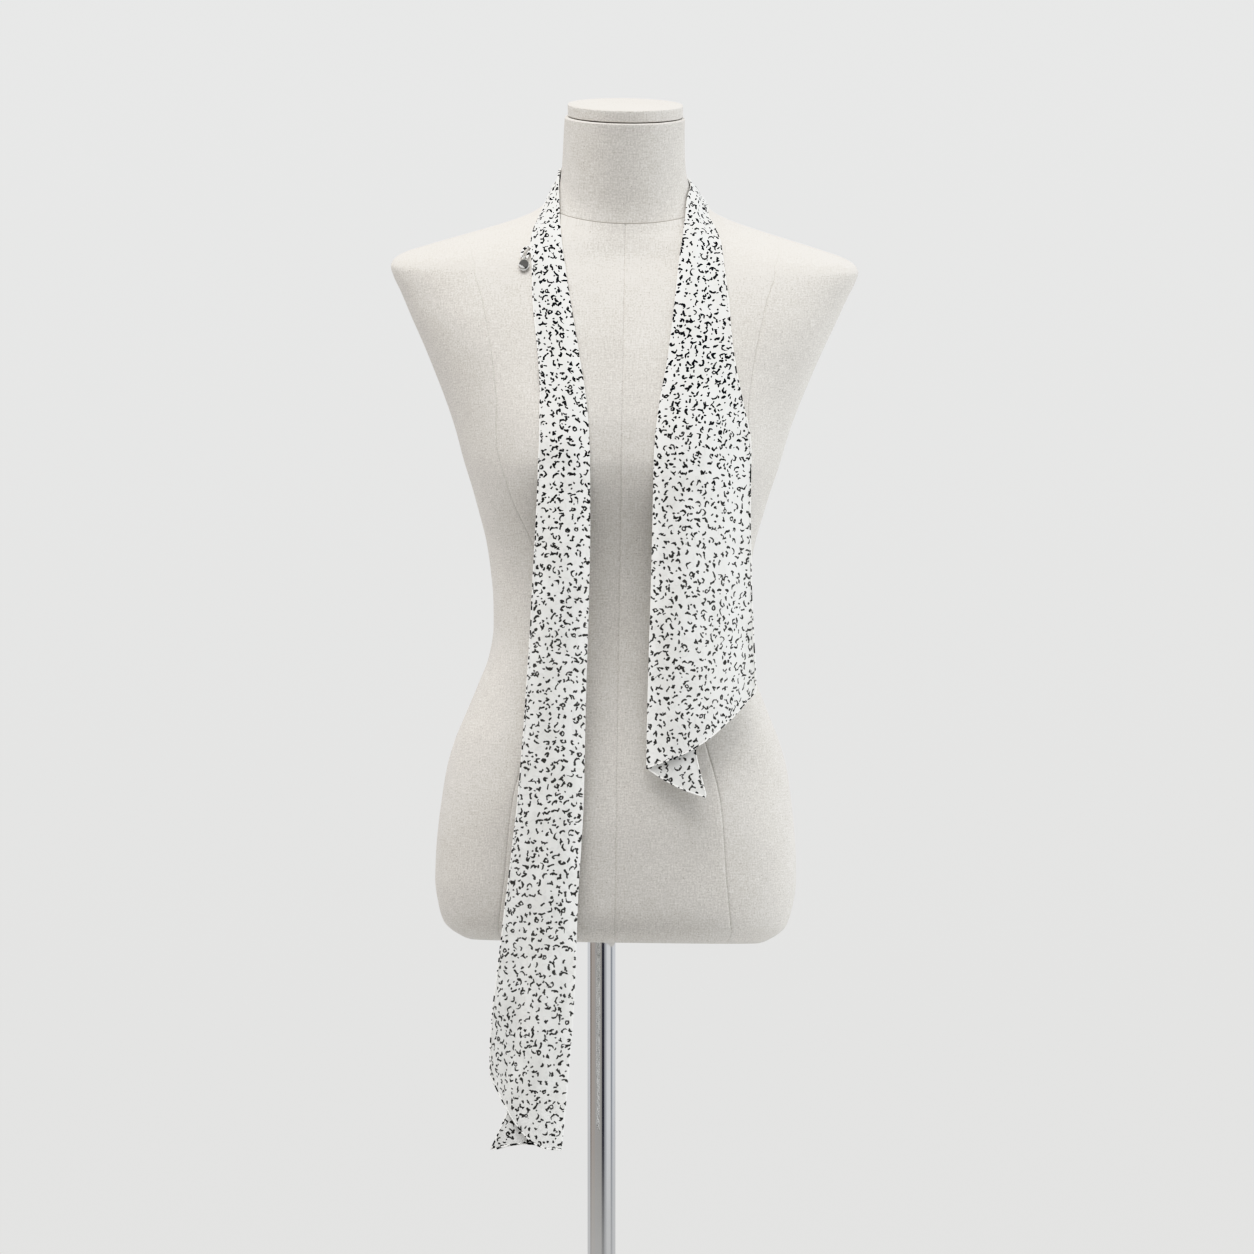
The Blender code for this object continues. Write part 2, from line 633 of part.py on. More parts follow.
def joined_charm(pebble, bail, stand, pivot):
    """The pebble and its bail as one solid, with its origin where it swings."""
    body = make_solid("charm", *pebble, "silver", "charm_metal", stand, pivot)
    ring = make_solid("bail_blank", *bail, "silver", "bail_metal", stand, pivot)
    work = bmesh.new()
    work.from_mesh(ring.data)
    bmesh.ops.remove_doubles(work, verts=work.verts, dist=0.000001)
    bmesh.ops.recalc_face_normals(work, faces=work.faces)
    work.to_mesh(ring.data)
    work.free()
    union = body.modifiers.new("bail", "BOOLEAN")
    union.operation, union.solver, union.object = "UNION", "EXACT", ring
    ring.hide_render, ring.display_type = True, "WIRE"
    return body


def make_loop(form, sheet):
    """The little sewn loop that holds the charm, ending at the cravat's free edge."""
    point, down, out, side = charm_place(form)
    edge = sheet[:, -1]
    heights = edge[:, 2]
    tip = CLOTH_WALL / 2 + SEAM_GAP

    def at(across, up, lift=0.0):
        return point + side * across - down * up + out * lift

    def beside(height, off):
        spot = np.array([np.interp(height, heights, edge[:, k]) for k in range(3)])
        return spot - np.array((tip + off, 0.0, 0.0))

    top, bottom = beside(SWING_POINT[1] + 12.5, 0.0), beside(SWING_POINT[1] + 7.5, 0.0)
    path = [top, beside(SWING_POINT[1] + 12.4, 1.6), at(2.2, 11.6, 1.0), at(0.2, 10.4, 0.4),
            at(-1.6, 8.6), at(-2.6, 6.0), at(-2.9, 3.4), at(-2.7, 1.6), at(-2.0, 0.5),
            at(-1.0, 0.0), at(0.0, 0.0), at(1.0, 0.0), at(2.0, 0.5), at(2.7, 1.6),
            at(2.9, 3.2), at(3.4, 5.0, 0.5), beside(SWING_POINT[1] + 7.0, 1.6), bottom]
    return swept_tube(path, LOOP_RADIUS, 10)


def main():
    clear_scene()
    stand = bpy.data.objects.new("form_underside", None)
    stand.location = (0.0, 0.0, FORM_UNDERSIDE / 1000)
    bpy.context.collection.objects.link(stand)
    body, neck, cap = make_body(), make_neck(), make_cap()
    form = Form([body, neck])
    make_solid("dress_form_torso", *body, "linen", "torso_linen", stand)
    make_solid("dress_form_neck", *neck, "linen", "neck_linen", stand)
    make_solid("neck_cap", *cap, "linen", "cap_linen", stand)

    foot = BASE_THICKNESS + SEAM_GAP
    upright_bar("base_plate", BASE_RADIUS, 0.0, BASE_THICKNESS, 2.0, 64, "painted",
                "base_paint")
    upright_bar("pole", POLE_RADIUS, foot, FORM_UNDERSIDE + POLE_IN_FORM, 0.8, 32,
                "chrome", "pole_chrome")
    bore = POLE_RADIUS + POLE_FIT
    profile = ((bore, 0.0), (SOCKET_RADIUS + 6, 0.0), (SOCKET_RADIUS + 6, 4.0),
               (SOCKET_RADIUS + 4, 6.0), (SOCKET_RADIUS, 8.0),
               (SOCKET_RADIUS - 2, SOCKET_HEIGHT - 2), (SOCKET_RADIUS - 4, SOCKET_HEIGHT),
               (bore, SOCKET_HEIGHT))
    spun("base_socket", profile, foot, 40, "painted", "socket_paint")

    sheets = make_cravat(form)
    for name, (sheet, normal) in sheets.items():
        make_solid(name, *wall(sheet, normal, CLOTH_WALL), "georgette", name + "_cloth",
                   stand)
    pivot = tuple(float(v) for v in charm_place(form)[0])
    joined_charm(*make_charm(form), stand, pivot)
    loop = make_loop(form, sheets["cravat_long_end"][0])
    make_solid("charm_loop", *loop, "georgette", "loop_cloth", stand)


main()
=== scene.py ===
# %% [markdown]
# A sheer cravat on a dress form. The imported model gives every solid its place, and this
# notebook dresses those solids: linen panels on the form, printed georgette for the
# cravat, polished metal for the charm and the pole.

import math

import bmesh
import bpy
import numpy as np
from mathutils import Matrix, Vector
from mathutils.bvhtree import BVHTree


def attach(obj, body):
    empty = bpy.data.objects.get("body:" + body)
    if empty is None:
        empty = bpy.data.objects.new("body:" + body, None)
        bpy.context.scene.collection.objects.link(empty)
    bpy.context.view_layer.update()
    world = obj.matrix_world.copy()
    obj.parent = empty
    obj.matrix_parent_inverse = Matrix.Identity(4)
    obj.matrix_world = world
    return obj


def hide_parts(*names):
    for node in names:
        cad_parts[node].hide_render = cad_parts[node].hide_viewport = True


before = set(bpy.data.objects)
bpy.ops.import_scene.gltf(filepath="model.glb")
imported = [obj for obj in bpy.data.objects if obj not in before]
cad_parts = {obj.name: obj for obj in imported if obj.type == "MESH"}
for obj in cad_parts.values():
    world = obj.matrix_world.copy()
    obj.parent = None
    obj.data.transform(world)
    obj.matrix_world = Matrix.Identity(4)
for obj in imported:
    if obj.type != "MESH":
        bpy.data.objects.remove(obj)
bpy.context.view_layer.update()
scene = bpy.context.scene
STAND, CHARM = "form_and_cravat", "charm"
MM = 0.001

# %% [markdown]
# The camera. The picture was taken level, from about four metres, with a long lens. One
# pixel covers 0.91 mm in the plane of the pole, and the pole's axis and the form's
# underside fix where that plane lies in the picture. From these the camera's place and
# lens are worked out, so no part has to be fitted to the picture afterwards.

# %% Camera
PICTURE_SIDE = 1254.0  # pixels
PIXEL = 0.91 * MM
POLE_COLUMN = 601.5  # pixels
UNDERSIDE_ROW = 941.0  # pixels
CAMERA_DISTANCE = 4.0
FORM_UNDERSIDE = 760.0  # millimetres over the floor

camera_data = bpy.data.cameras.new("camera")
camera_data.sensor_width = 36.0
camera_data.lens = camera_data.sensor_width * CAMERA_DISTANCE / (PICTURE_SIDE * PIXEL)
camera = bpy.data.objects.new("camera", camera_data)
camera.location = (
    (PICTURE_SIDE / 2 - POLE_COLUMN) * PIXEL,
    -CAMERA_DISTANCE,
    FORM_UNDERSIDE * MM + (UNDERSIDE_ROW - PICTURE_SIDE / 2) * PIXEL,
)
camera.rotation_euler = (math.radians(90), 0, 0)
scene.collection.objects.link(camera)
scene.camera = camera
print("lens", round(camera_data.lens, 1), "mm at", [round(v, 4) for v in camera.location])

# %% [markdown]
# Every finish here is a tree of nodes. A small helper keeps the recipes short: it adds a
# node, sets its values or links its sockets, and hands back the socket that comes next.

# %% A helper for node trees


class Wiring:
    """Adds nodes to a shader tree, and links or sets their inputs."""

    def __init__(self, tree):
        self.tree = tree

    def node(self, kind, inputs=None, **settings):
        made = self.tree.nodes.new("ShaderNode" + kind)
        for name, value in settings.items():
            setattr(made, name, value)
        for key, value in (inputs or {}).items():
            self.feed(value, made.inputs[key])
        return made

    def feed(self, value, socket):
        if isinstance(value, bpy.types.NodeSocket):
            self.tree.links.new(value, socket)
        else:
            socket.default_value = value

    def math(self, operation, *values):
        return self.node("Math", dict(enumerate(values)), operation=operation).outputs[0]

    def plus(self, first, second):
        return self.math("ADD", first, second)

    def minus(self, first, second):
        return self.math("SUBTRACT", first, second)

    def times(self, first, second):
        return self.math("MULTIPLY", first, second)

    def vector(self, operation, *values):
        made = self.node("VectorMath", dict(enumerate(values)), operation=operation)
        return made.outputs["Value" if operation == "LENGTH" else "Vector"]

    def split(self, vector):
        return self.node("SeparateXYZ", {0: vector}).outputs[:3]

    def span(self, value, low, high, start=0.0, end=1.0, smooth=True):
        kind = "SMOOTHSTEP" if smooth else "LINEAR"
        inputs = {"Value": value, "From Min": low, "From Max": high, "To Min": start,
                  "To Max": end}
        return self.node("MapRange", inputs, interpolation_type=kind).outputs[0]

    def noise(self, place, scale, detail=2.0, output="Fac"):
        inputs = {"Vector": place, "Scale": scale, "Detail": detail}
        return self.node("TexNoise", inputs).outputs[output]

    def blend(self, share, first, second, kind="MIX"):
        made = self.node("Mix", data_type="RGBA", blend_type=kind, clamp_factor=True)
        self.feed(share, made.inputs[0])
        self.feed(first, made.inputs[6])
        self.feed(second, made.inputs[7])
        return made.outputs[2]

    def ramp(self, value, stops):
        made = self.node("ValToRGB", {0: value})
        points = made.color_ramp.elements
        while len(points) < len(stops):
            points.new(0.5)
        for point, (position, colour) in zip(points, stops):
            point.position, point.color = position, (*colour, 1.0)
        return made.outputs[0]

    def surface(self, shader, colour, rough=None, bump=None):
        """Feeds a shader its colour, and a roughness or (strength, depth, height) bump."""
        self.feed(colour, shader.inputs["Base Color"])
        if rough is not None:
            self.feed(rough, shader.inputs["Roughness"])
        if bump is not None:
            made = self.node("Bump", dict(zip(("Strength", "Distance", "Height"), bump)))
            self.feed(made.outputs[0], shader.inputs["Normal"])


def material(name, rough, metal=0.0, sheen=0.0, specular=0.5):
    """A new material's wiring and its Principled shader, with its plain values set."""
    made = bpy.data.materials.new(name)
    made.use_nodes = True
    shader = made.node_tree.nodes["Principled BSDF"]
    values = {"Roughness": rough, "Metallic": metal, "Sheen Weight": sheen,
              "Specular IOR Level": specular}
    for key, value in values.items():
        shader.inputs[key].default_value = value
    return made, Wiring(made.node_tree), shader


# %% [markdown]
# The light. A shop picture like this is taken in a pale room: big soft sources at the
# sides and overhead, less light from behind the camera. The polished pole shows that room
# as upright stripes, so the room is painted on the world as a ring of stripes by compass
# direction, brighter overhead. Three soft lamps give the cloth its light from the sides
# and the top. Their own shapes are kept out of the reflections.

# %% The room
world = bpy.data.worlds.new("pale_studio")
scene.world = world
world.use_nodes = True
room = Wiring(world.node_tree)
direction = room.node("TexCoord").outputs["Generated"]
east, north, up = room.split(direction)
compass = room.math("ARCTAN2", east, room.times(north, -1.0))
compass = room.span(compass, -math.pi, math.pi, smooth=False)

# Stripes round the room. Columns: degrees to the right of the camera's side, colour.
STRIPES = (
    (-180, (0.66, 0.67, 0.69)), (-107, (0.66, 0.67, 0.69)), (-103, (0.15, 0.12, 0.10)),
    (-95, (0.15, 0.12, 0.10)), (-91, (0.42, 0.38, 0.35)), (-58, (0.40, 0.37, 0.34)),
    (-54, (0.39, 0.38, 0.37)), (-2, (0.38, 0.37, 0.35)), (7, (0.05, 0.05, 0.06)),
    (19, (0.05, 0.05, 0.06)), (28, (0.40, 0.41, 0.43)), (38, (0.46, 0.47, 0.49)),
    (46, (0.70, 0.71, 0.72)), (78, (0.72, 0.73, 0.74)), (86, (0.30, 0.32, 0.35)),
    (98, (0.30, 0.32, 0.35)), (105, (0.66, 0.68, 0.71)), (180, (0.66, 0.67, 0.69)),
)
ring = room.ramp(compass, [((turn + 180) / 360, colour) for turn, colour in STRIPES])
haze = room.span(up, -0.04, -0.12, 0.0, 0.45)
ring = room.blend(haze, ring, (0.40, 0.40, 0.39, 1.0))
walls = room.blend(room.span(up, 0.25, 0.70), ring, (1.0, 1.0, 1.0, 1.0))
walls = room.blend(room.span(up, -0.05, -0.25), walls, (0.66, 0.66, 0.655, 1.0))
BACKDROP_LOW, BACKDROP_HIGH = (0.823, 0.823, 0.815, 1.0), (0.870, 0.874, 0.870, 1.0)
backdrop = room.blend(room.span(up, -0.15, 0.2), BACKDROP_LOW, BACKDROP_HIGH)
seen = room.node("LightPath").outputs["Is Camera Ray"]
room.feed(room.blend(seen, walls, backdrop), world.node_tree.nodes["Background"].inputs[0])
scene.view_settings.view_transform = "Khronos PBR Neutral"
print("stripes round the room:", len(STRIPES))

# %% Soft lamps


def softbox(name, place, target, width, height, power, colour):
    """A large soft lamp that lights the cloth and doesn't show in the metal."""
    data = bpy.data.lights.new(name, "AREA")
    data.shape, data.size, data.size_y = "RECTANGLE", width, height
    data.energy, data.color = power, colour
    lamp = bpy.data.objects.new(name, data)
    scene.collection.objects.link(lamp)
    lamp.location = place
    lamp.rotation_mode = "QUATERNION"
    lamp.rotation_quaternion = (Vector(target) - Vector(place)).to_track_quat("-Z", "Y")
    lamp.visible_glossy = lamp.visible_camera = False


softbox("overhead_front", (-0.28, -0.88, 3.05), (0.02, 0.0, 1.3), 1.8, 1.2, 45.0,
        (1.0, 0.995, 0.985))
softbox("left_side", (-2.4, 0.1, 1.4), (0.0, 0.0, 1.1), 1.4, 2.4, 15.0, (1.0, 0.965, 0.94))
softbox("right_side", (2.4, 0.0, 1.4), (0.0, 0.0, 1.1), 1.4, 2.4, 40.0, (0.95, 0.98, 1.0))

# %% [markdown]
# The floor is a pale round sheet that fades out, so that the object stands on something
# from every side, and the picture from the front shows no horizon.

# %% Floor
FLOOR_RADIUS, FLOOR_FADE = 2.9, 1.3

floor_mesh = bpy.data.meshes.new("studio_floor")
work = bmesh.new()
bmesh.ops.create_circle(work, cap_ends=True, segments=96, radius=FLOOR_RADIUS)
bmesh.ops.translate(work, verts=work.verts, vec=(0, 0, -0.0004))
work.to_mesh(floor_mesh)
work.free()
floor = bpy.data.objects.new("studio_floor", floor_mesh)
scene.collection.objects.link(floor)
floor_paint, w, shader = material("studio_floor_paint", 0.8)
spot = w.node("TexCoord").outputs["Object"]
w.surface(shader, w.blend(w.noise(spot, 1.4), (0.62, 0.62, 0.615, 1), (0.66, 0.66, 0.655, 1)))
away = w.vector("LENGTH", spot)
w.feed(w.span(away, FLOOR_FADE, FLOOR_RADIUS * 0.97, 1.0, 0.0), shader.inputs["Alpha"])
floor_mesh.materials.append(floor_paint)
print("floor radius", FLOOR_RADIUS, "m")

# %% [markdown]
# The form's shape. It is a body of level sections, each a rounded rectangle with its own
# width, depth and tilt. The same rows describe the solids of the frame, so the fine skin
# made here lies on them. Values between two rows are eased, which keeps the outline
# smooth without overshooting a row.

# %% Sections of the form
FORM_OFFSET = 12.0  # the form's middle is this far right of the pole at its underside
FORM_LEAN = 0.0146  # and moves right by this share of the height
FORM_ROLL = 0.0146  # the form's level lines drop by this share towards the right

# Level sections of the body. Columns: height, half width, front depth, back depth,
# squareness, forward tilt of the section in degrees, middle of the section in Y.
BODY = (
    (0.0, 131.0, 78.0, 89.0, 2.3, -3.0, 0.0),
    (1.5, 136.0, 83.0, 94.0, 2.3, -3.0, 0.0),
    (4.0, 141.0, 88.0, 99.0, 2.3, -3.0, 0.0),
    (9.0, 149.0, 94.0, 106.0, 2.3, -2.9, 0.0),
    (16.0, 155.5, 98.5, 111.0, 2.3, -2.8, 0.0),
    (29.0, 160.0, 102.0, 115.5, 2.3, -2.5, 0.0),
    (55.0, 164.0, 104.0, 118.0, 2.3, -1.6, 0.0),
    (80.0, 163.5, 105.0, 120.0, 2.3, -0.9, 0.0),
    (106.0, 161.5, 106.0, 121.0, 2.3, -0.4, 0.0),
    (131.0, 158.5, 105.0, 118.5, 2.3, 0.0, 0.0),
    (157.0, 154.5, 102.5, 113.0, 2.25, 0.0, 0.0),
    (182.0, 147.5, 98.5, 105.0, 2.25, 0.0, 0.0),
    (207.0, 137.5, 94.0, 97.0, 2.2, 0.0, 0.0),
    (233.0, 127.0, 89.5, 90.0, 2.2, 0.0, 0.0),
    (258.0, 118.0, 86.0, 84.5, 2.2, 0.0, 0.0),
    (284.0, 114.2, 83.5, 81.0, 2.2, 0.0, 0.0),
    (309.0, 114.8, 82.5, 80.0, 2.2, 0.0, 0.0),
    (335.0, 117.5, 83.5, 81.5, 2.2, 0.0, 0.0),
    (360.0, 121.5, 86.5, 84.5, 2.2, 0.0, 0.0),
    (386.0, 128.3, 91.0, 89.5, 2.2, 0.0, 0.0),
    (411.0, 135.6, 96.0, 94.5, 2.2, 0.0, 0.0),
    (437.0, 144.0, 99.5, 99.0, 2.2, 0.0, 0.0),
    (462.0, 151.0, 99.5, 102.0, 2.2, 0.0, 0.5),
    (488.0, 160.0, 97.0, 104.0, 2.25, 0.0, 1.5),
    (513.0, 170.0, 93.0, 105.5, 2.3, 0.5, 3.0),
    (539.0, 181.0, 87.5, 106.0, 2.35, 1.5, 4.5),
    (564.0, 192.5, 80.5, 104.5, 2.35, 3.0, 6.0),
    (590.0, 204.0, 71.5, 101.0, 2.3, 5.0, 7.5),
    (602.0, 210.0, 67.0, 98.0, 2.25, 6.2, 8.0),
    (612.0, 213.0, 63.0, 95.0, 2.2, 7.5, 8.0),
    (618.0, 210.5, 60.5, 92.5, 2.15, 8.6, 8.0),
    (624.0, 201.5, 58.5, 89.5, 2.1, 9.8, 8.0),
    (631.0, 180.0, 56.5, 86.0, 2.05, 11.4, 8.0),
    (639.0, 152.0, 55.0, 82.0, 2.0, 13.2, 8.0),
    (647.0, 123.0, 54.0, 78.0, 2.0, 15.2, 8.0),
    (654.0, 100.0, 53.2, 74.5, 2.0, 17.0, 8.0),
    (661.0, 84.0, 52.5, 71.5, 2.0, 19.0, 8.0),
    (667.0, 75.7, 52.2, 69.5, 2.0, 20.6, 8.0),
    (672.0, 71.5, 52.0, 68.5, 2.0, 22.0, 8.0),
)
# The soft fullness on each side of the chest.
BUST = {"across": 78.0, "height": 425.0, "depth": 25.0, "wide": 42.0, "up": 52.0,
        "down": 38.0}

# Sections of the neck from its seam up. Columns: height of the middle, half width,
# half depth, forward tilt in degrees, middle of the section in Y, and how far it stands
# to the right of the body's own middle.
NECK = (
    (672.4, 71.0, 60.0, 22.0, 8.2, 0.0),
    (678.5, 64.7, 58.5, 20.6, 6.7, -0.4),
    (685.0, 60.5, 57.6, 19.2, 5.1, -1.0),
    (693.0, 57.9, 57.1, 17.8, 3.1, -1.5),
    (705.0, 56.2, 56.4, 16.2, 0.1, -2.0),
    (722.0, 55.3, 55.8, 14.8, -4.1, -2.1),
    (737.4, 54.8, 55.3, 13.4, -8.1, -2.0),
    (747.4, 54.6, 55.0, 12.6, -10.8, -1.6),
    (748.2, 53.8, 54.2, 12.6, -11.0, -1.6),
)


def eased(rows, at):
    """The columns of a table at one value of its first, eased without overshoot."""
    table = np.array(rows, float)
    key, value = table[:, 0], table[:, 1:]
    step = np.diff(key)[:, None]
    slope = np.diff(value, axis=0) / step
    lean = np.zeros_like(value)
    product = slope[1:] * slope[:-1]
    total = slope[1:] + slope[:-1]
    lean[1:-1] = np.where(product > 0, 2 * product / np.where(total == 0, 1, total), 0)
    lean[0], lean[-1] = slope[0], slope[-1]
    k = int(np.clip(np.searchsorted(key, at, side="right") - 1, 0, len(key) - 2))
    width = step[k, 0]
    f = (at - key[k]) / width
    return (
        (1 + 2 * f) * (1 - f) ** 2 * value[k]
        + f * (1 - f) ** 2 * width * lean[k]
        + f * f * (3 - 2 * f) * value[k + 1]
        + f * f * (f - 1) * width * lean[k + 1]
    )


def middle_x(height):
    return FORM_OFFSET + FORM_LEAN * height


def body_ring(height, angles):
    """Points of the body at one height; angle 0 is the right side and 270 the front."""
    half, front, back, square, tilt, mid_y = eased(BODY, height)
    c, s = np.cos(np.radians(angles)), np.sin(np.radians(angles))
    power = 2.0 / square
    across = np.sign(c) * np.abs(c) ** power * half
    deep = np.sign(s) * np.abs(s) ** power * np.where(s > 0, back - mid_y, front + mid_y)
    rise = height - BUST["height"]
    spread = BUST["up"] if rise > 0 else BUST["down"]
    level = math.exp(-0.5 * (rise / spread) ** 2) * BUST["depth"] * np.abs(s) ** 0.7
    for side in (-1, 1):
        off = (across - side * BUST["across"]) / BUST["wide"]
        deep = deep - np.where(s < 0, level * np.exp(-0.5 * off * off), 0.0)
    z = height + deep * math.tan(math.radians(tilt)) - across * FORM_ROLL
    return np.stack([middle_x(height) + across, mid_y + deep, z], axis=1)


def neck_ring(height, angles):
    """Points of the neck at one height of its middle."""
    half, deep, tilt, mid_y, aside = eased(NECK, height)
    x = half * np.cos(np.radians(angles))
    y = deep * np.sin(np.radians(angles))
    z = height + y * math.tan(math.radians(tilt)) - x * FORM_ROLL
    return np.stack([middle_x(height) + aside + x, mid_y + y, z], axis=1)


print("sections in the body and neck:", len(BODY), len(NECK))

# %% [markdown]
# Meshes. Points are worked out in millimetres over the form's underside and turned into
# metres once, here. A piece can carry a cloth map: a flat place in metres for each corner
# of each face, so that a weave or a print follows the cloth and not the room.

# %% Helpers for meshes
UNDERSIDE = np.array((0.0, 0.0, FORM_UNDERSIDE))


def piece(name, points, faces, finish, corner_map=None, lift=UNDERSIDE, sharp=35.0):
    """A shaded mesh object from millimetre points, with an optional map in metres."""
    mesh = bpy.data.meshes.new(name)
    mesh.from_pydata([tuple(p) for p in (np.asarray(points) + lift) * MM], [], faces)
    if corner_map is not None:
        layer = mesh.uv_layers.new(name="cloth_map")
        corners = np.array([spot for face in corner_map for spot in face], float)
        layer.data.foreach_set("uv", (corners * MM).ravel())
    mesh.materials.append(finish)
    mesh.shade_smooth()
    mesh.set_sharp_from_angle(angle=math.radians(sharp))
    mesh.validate()
    item = bpy.data.objects.new(name, mesh)
    scene.collection.objects.link(item)
    return item


def outward(item, merge=1e-6):
    """Turns all faces of a closed mesh outwards, and first merges corners this close."""
    work = bmesh.new()
    work.from_mesh(item.data)
    if merge:
        bmesh.ops.remove_doubles(work, verts=work.verts, dist=merge)
    bmesh.ops.recalc_face_normals(work, faces=work.faces)
    work.to_mesh(item.data)
    work.free()
    return item


def triangles(item):
    return sum(len(face.vertices) - 2 for face in item.data.polygons)


def settle(item, node, body=STAND):
    """The piece rides on its body and stands for its node."""
    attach(item, body)
    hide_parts(node)
    print(item.name, "for", node, "-", triangles(item), "triangles")


def steps_to(start, end, parts):
    """Equal steps from a start, which is left out, to an end."""
    return [start + (end - start) * p / parts for p in range(1, parts + 1)]


def unit(ways):
    """Rows of vectors, each made one long."""
    return ways / np.linalg.norm(ways, axis=1)[:, None]


def distances(points, axis=0):
    """Distance run along one axis of an array of points, from nothing at its start."""
    steps = np.linalg.norm(np.diff(points, axis=axis), axis=-1)
    start = np.zeros_like(steps.take([0], axis))
    return np.concatenate([start, np.cumsum(steps, axis=axis)], axis=axis)


def closed_rings(grid):
    """Rings with their first corner again at the end."""
    return np.concatenate([grid, grid[:, :1]], axis=1)


def ring_faces(rings, corners, first=0, joined=False):
    """Faces between rings of corners; joined rings also close from the last to the first."""
    faces = []
    for r in range(rings if joined else rings - 1):
        low, high = first + r * corners, first + (r + 1) % rings * corners
        for c in range(corners):
            d = (c + 1) % corners
            faces.append((low + c, low + d, high + d, high + c))
    return faces


def end_faces(rings, corners):
    """The two faces that close the first and the last ring."""
    last = (rings - 1) * corners
    return [tuple(reversed(range(corners))), tuple(range(last, last + corners))]


def face_corners(r, c):
    """Ring and column of each corner of one face, in the order of ring_faces."""
    return (r, c), (r, c + 1), (r + 1, c + 1), (r + 1, c)


# %% [markdown]
# Linen. The form is covered in undyed linen: a plain weave with thick slubs in both
# directions, a soft mottle and now and then a dark fleck of bark. The weave is made from
# a checker: in one set of squares the upright thread lies on top, in the other the level
# one, and each thread is round. Slubs are noise that is stretched a long way along the
# thread. It reads the cloth map, so each panel keeps its own grain.

# %% Linen
THREAD_PITCH = 0.62 * MM


def linen(name, painted_shade_scale=1.0):
    made, w, shader = material(name, 0.86, sheen=0.08)
    place = w.node("UVMap", uv_map="cloth_map").outputs[0]
    wander = w.noise(place, 160.0, output="Color")
    wander = w.vector("MULTIPLY", w.vector("SUBTRACT", wander, (0.5, 0.5, 0.5)),
                      (0.0010, 0.0010, 0.0))
    grain = w.vector("ADD", place, wander)
    u, v, _ = w.split(grain)
    threads = [w.math("ABSOLUTE", w.math("SINE", w.times(along, math.pi / THREAD_PITCH)))
               for along in (u, v)]
    over = w.node("TexChecker", {"Vector": grain, "Scale": 1 / THREAD_PITCH}).outputs["Fac"]
    weave = w.node("Mix", data_type="FLOAT")
    for key, value in ((0, over), (2, threads[0]), (3, threads[1])):
        w.feed(value, weave.inputs[key])
    weave = weave.outputs[0]
    slubs = []
    for stretch in ((1500.0, 95.0, 0.0), (85.0, 1300.0, 0.0)):
        streak = w.noise(w.vector("MULTIPLY", place, stretch), 1.0, 3.0)
        slubs.append(w.span(streak, 0.30, 0.72))
    slub = w.plus(w.times(slubs[0], 0.55), w.times(slubs[1], 0.45))
    mottle = w.noise(place, 640.0, 4.0)
    cloud = w.noise(place, 14.0, 2.0)
    tone = w.plus(w.plus(w.times(slub, 0.22), w.times(mottle, 0.65)), w.times(cloud, 0.13))
    # This scale darkens the linen as painted shade, for pieces that stand in less light.
    dark = tuple(painted_shade_scale * c for c in (0.496, 0.473, 0.438)) + (1.0,)
    pale = tuple(painted_shade_scale * c for c in (0.716, 0.697, 0.667)) + (1.0,)
    colour = w.blend(w.span(tone, 0.34, 0.66, smooth=False), dark, pale)
    # Painted shade: the gaps between the threads are a little darker.
    gap = w.span(weave, 0.0, 0.55)
    colour = w.blend(gap, w.blend(0.07, colour, (0.25, 0.22, 0.19, 1.0)), colour)
    bark = w.node("TexVoronoi", {"Vector": place, "Scale": 130.0, "Randomness": 1.0},
                  voronoi_dimensions="2D")
    chance = w.node("SeparateColor", {0: bark.outputs["Color"]}).outputs[0]
    fleck = w.times(w.span(bark.outputs["Distance"], 0.075, 0.045), w.span(chance, 0.80, 0.84))
    colour = w.blend(w.times(fleck, 0.45), colour, (0.16, 0.12, 0.085, 1.0))
    height = w.plus(w.times(weave, 0.5), w.times(slub, 0.5))
    w.surface(shader, colour, bump=(0.35, 0.00022, height))
    return made


# The neck and the cap take darker copies of this linen: painted shade.
panel_linen = linen("panel_linen")
neck_linen = linen("neck_linen", 0.93)
cap_linen = linen("cap_linen", 0.95)
print("threads per centimetre:", round(0.01 / THREAD_PITCH, 1))

# %% [markdown]
# The body's cover is cut in eight upright panels: a centre front and centre back seam,
# seams over the bust and shoulder blade, and one down each side. Each seam draws the
# cloth in by less than a millimetre. Here the columns of the mesh follow the seams, with
# close columns on both sides of each, so the crease is real and the panels stay smooth.

# %% Cover of the body
# Where the seams beside the centre run. Columns: height, share of the half width there.
SIDE_FRONT_SEAM = (
    (0.0, 0.74), (20.0, 0.655), (64.0, 0.60), (128.0, 0.585), (182.0, 0.535),
    (240.0, 0.51), (300.0, 0.53), (360.0, 0.65), (400.0, 0.74), (440.0, 0.765),
    (492.0, 0.70), (545.0, 0.655), (592.0, 0.635), (612.0, 0.635), (618.0, 0.64),
    (624.0, 0.68), (631.0, 0.77), (639.0, 0.90), (647.0, 0.945), (672.0, 0.97),
)
PANELS = 8
SEAM_DEPTH = 0.6
# Columns of the mesh beside a seam. Columns: distance from the seam, share of its depth.
BESIDE_SEAM = ((0.6, 0.36), (1.4, 0.05), (3.0, -0.06), (6.0, -0.03))
PANEL_COLUMNS = 12
FINE_BELOW, FINE_FROM = 16.0, 590.0  # heights under and over which rows are close
FINE_STEP, COARSE_STEP = 2.0, 5.5
BORE_RADIUS, BORE_DEPTH, UNDERSIDE_TILT = 13.1, 60.0, 3.0


def seam_angles(height):
    """Angles of the seams, from the centre front round by the right to it again."""
    share = min(1.0, float(eased(SIDE_FRONT_SEAM, height)[0]))
    square = eased(BODY, height)[3]
    away = math.degrees(math.acos(share ** (square / 2)))
    return [270.0, 360 - away, 360.0, 360 + away, 450.0, 540 - away, 540.0, 540 + away, 630.0]


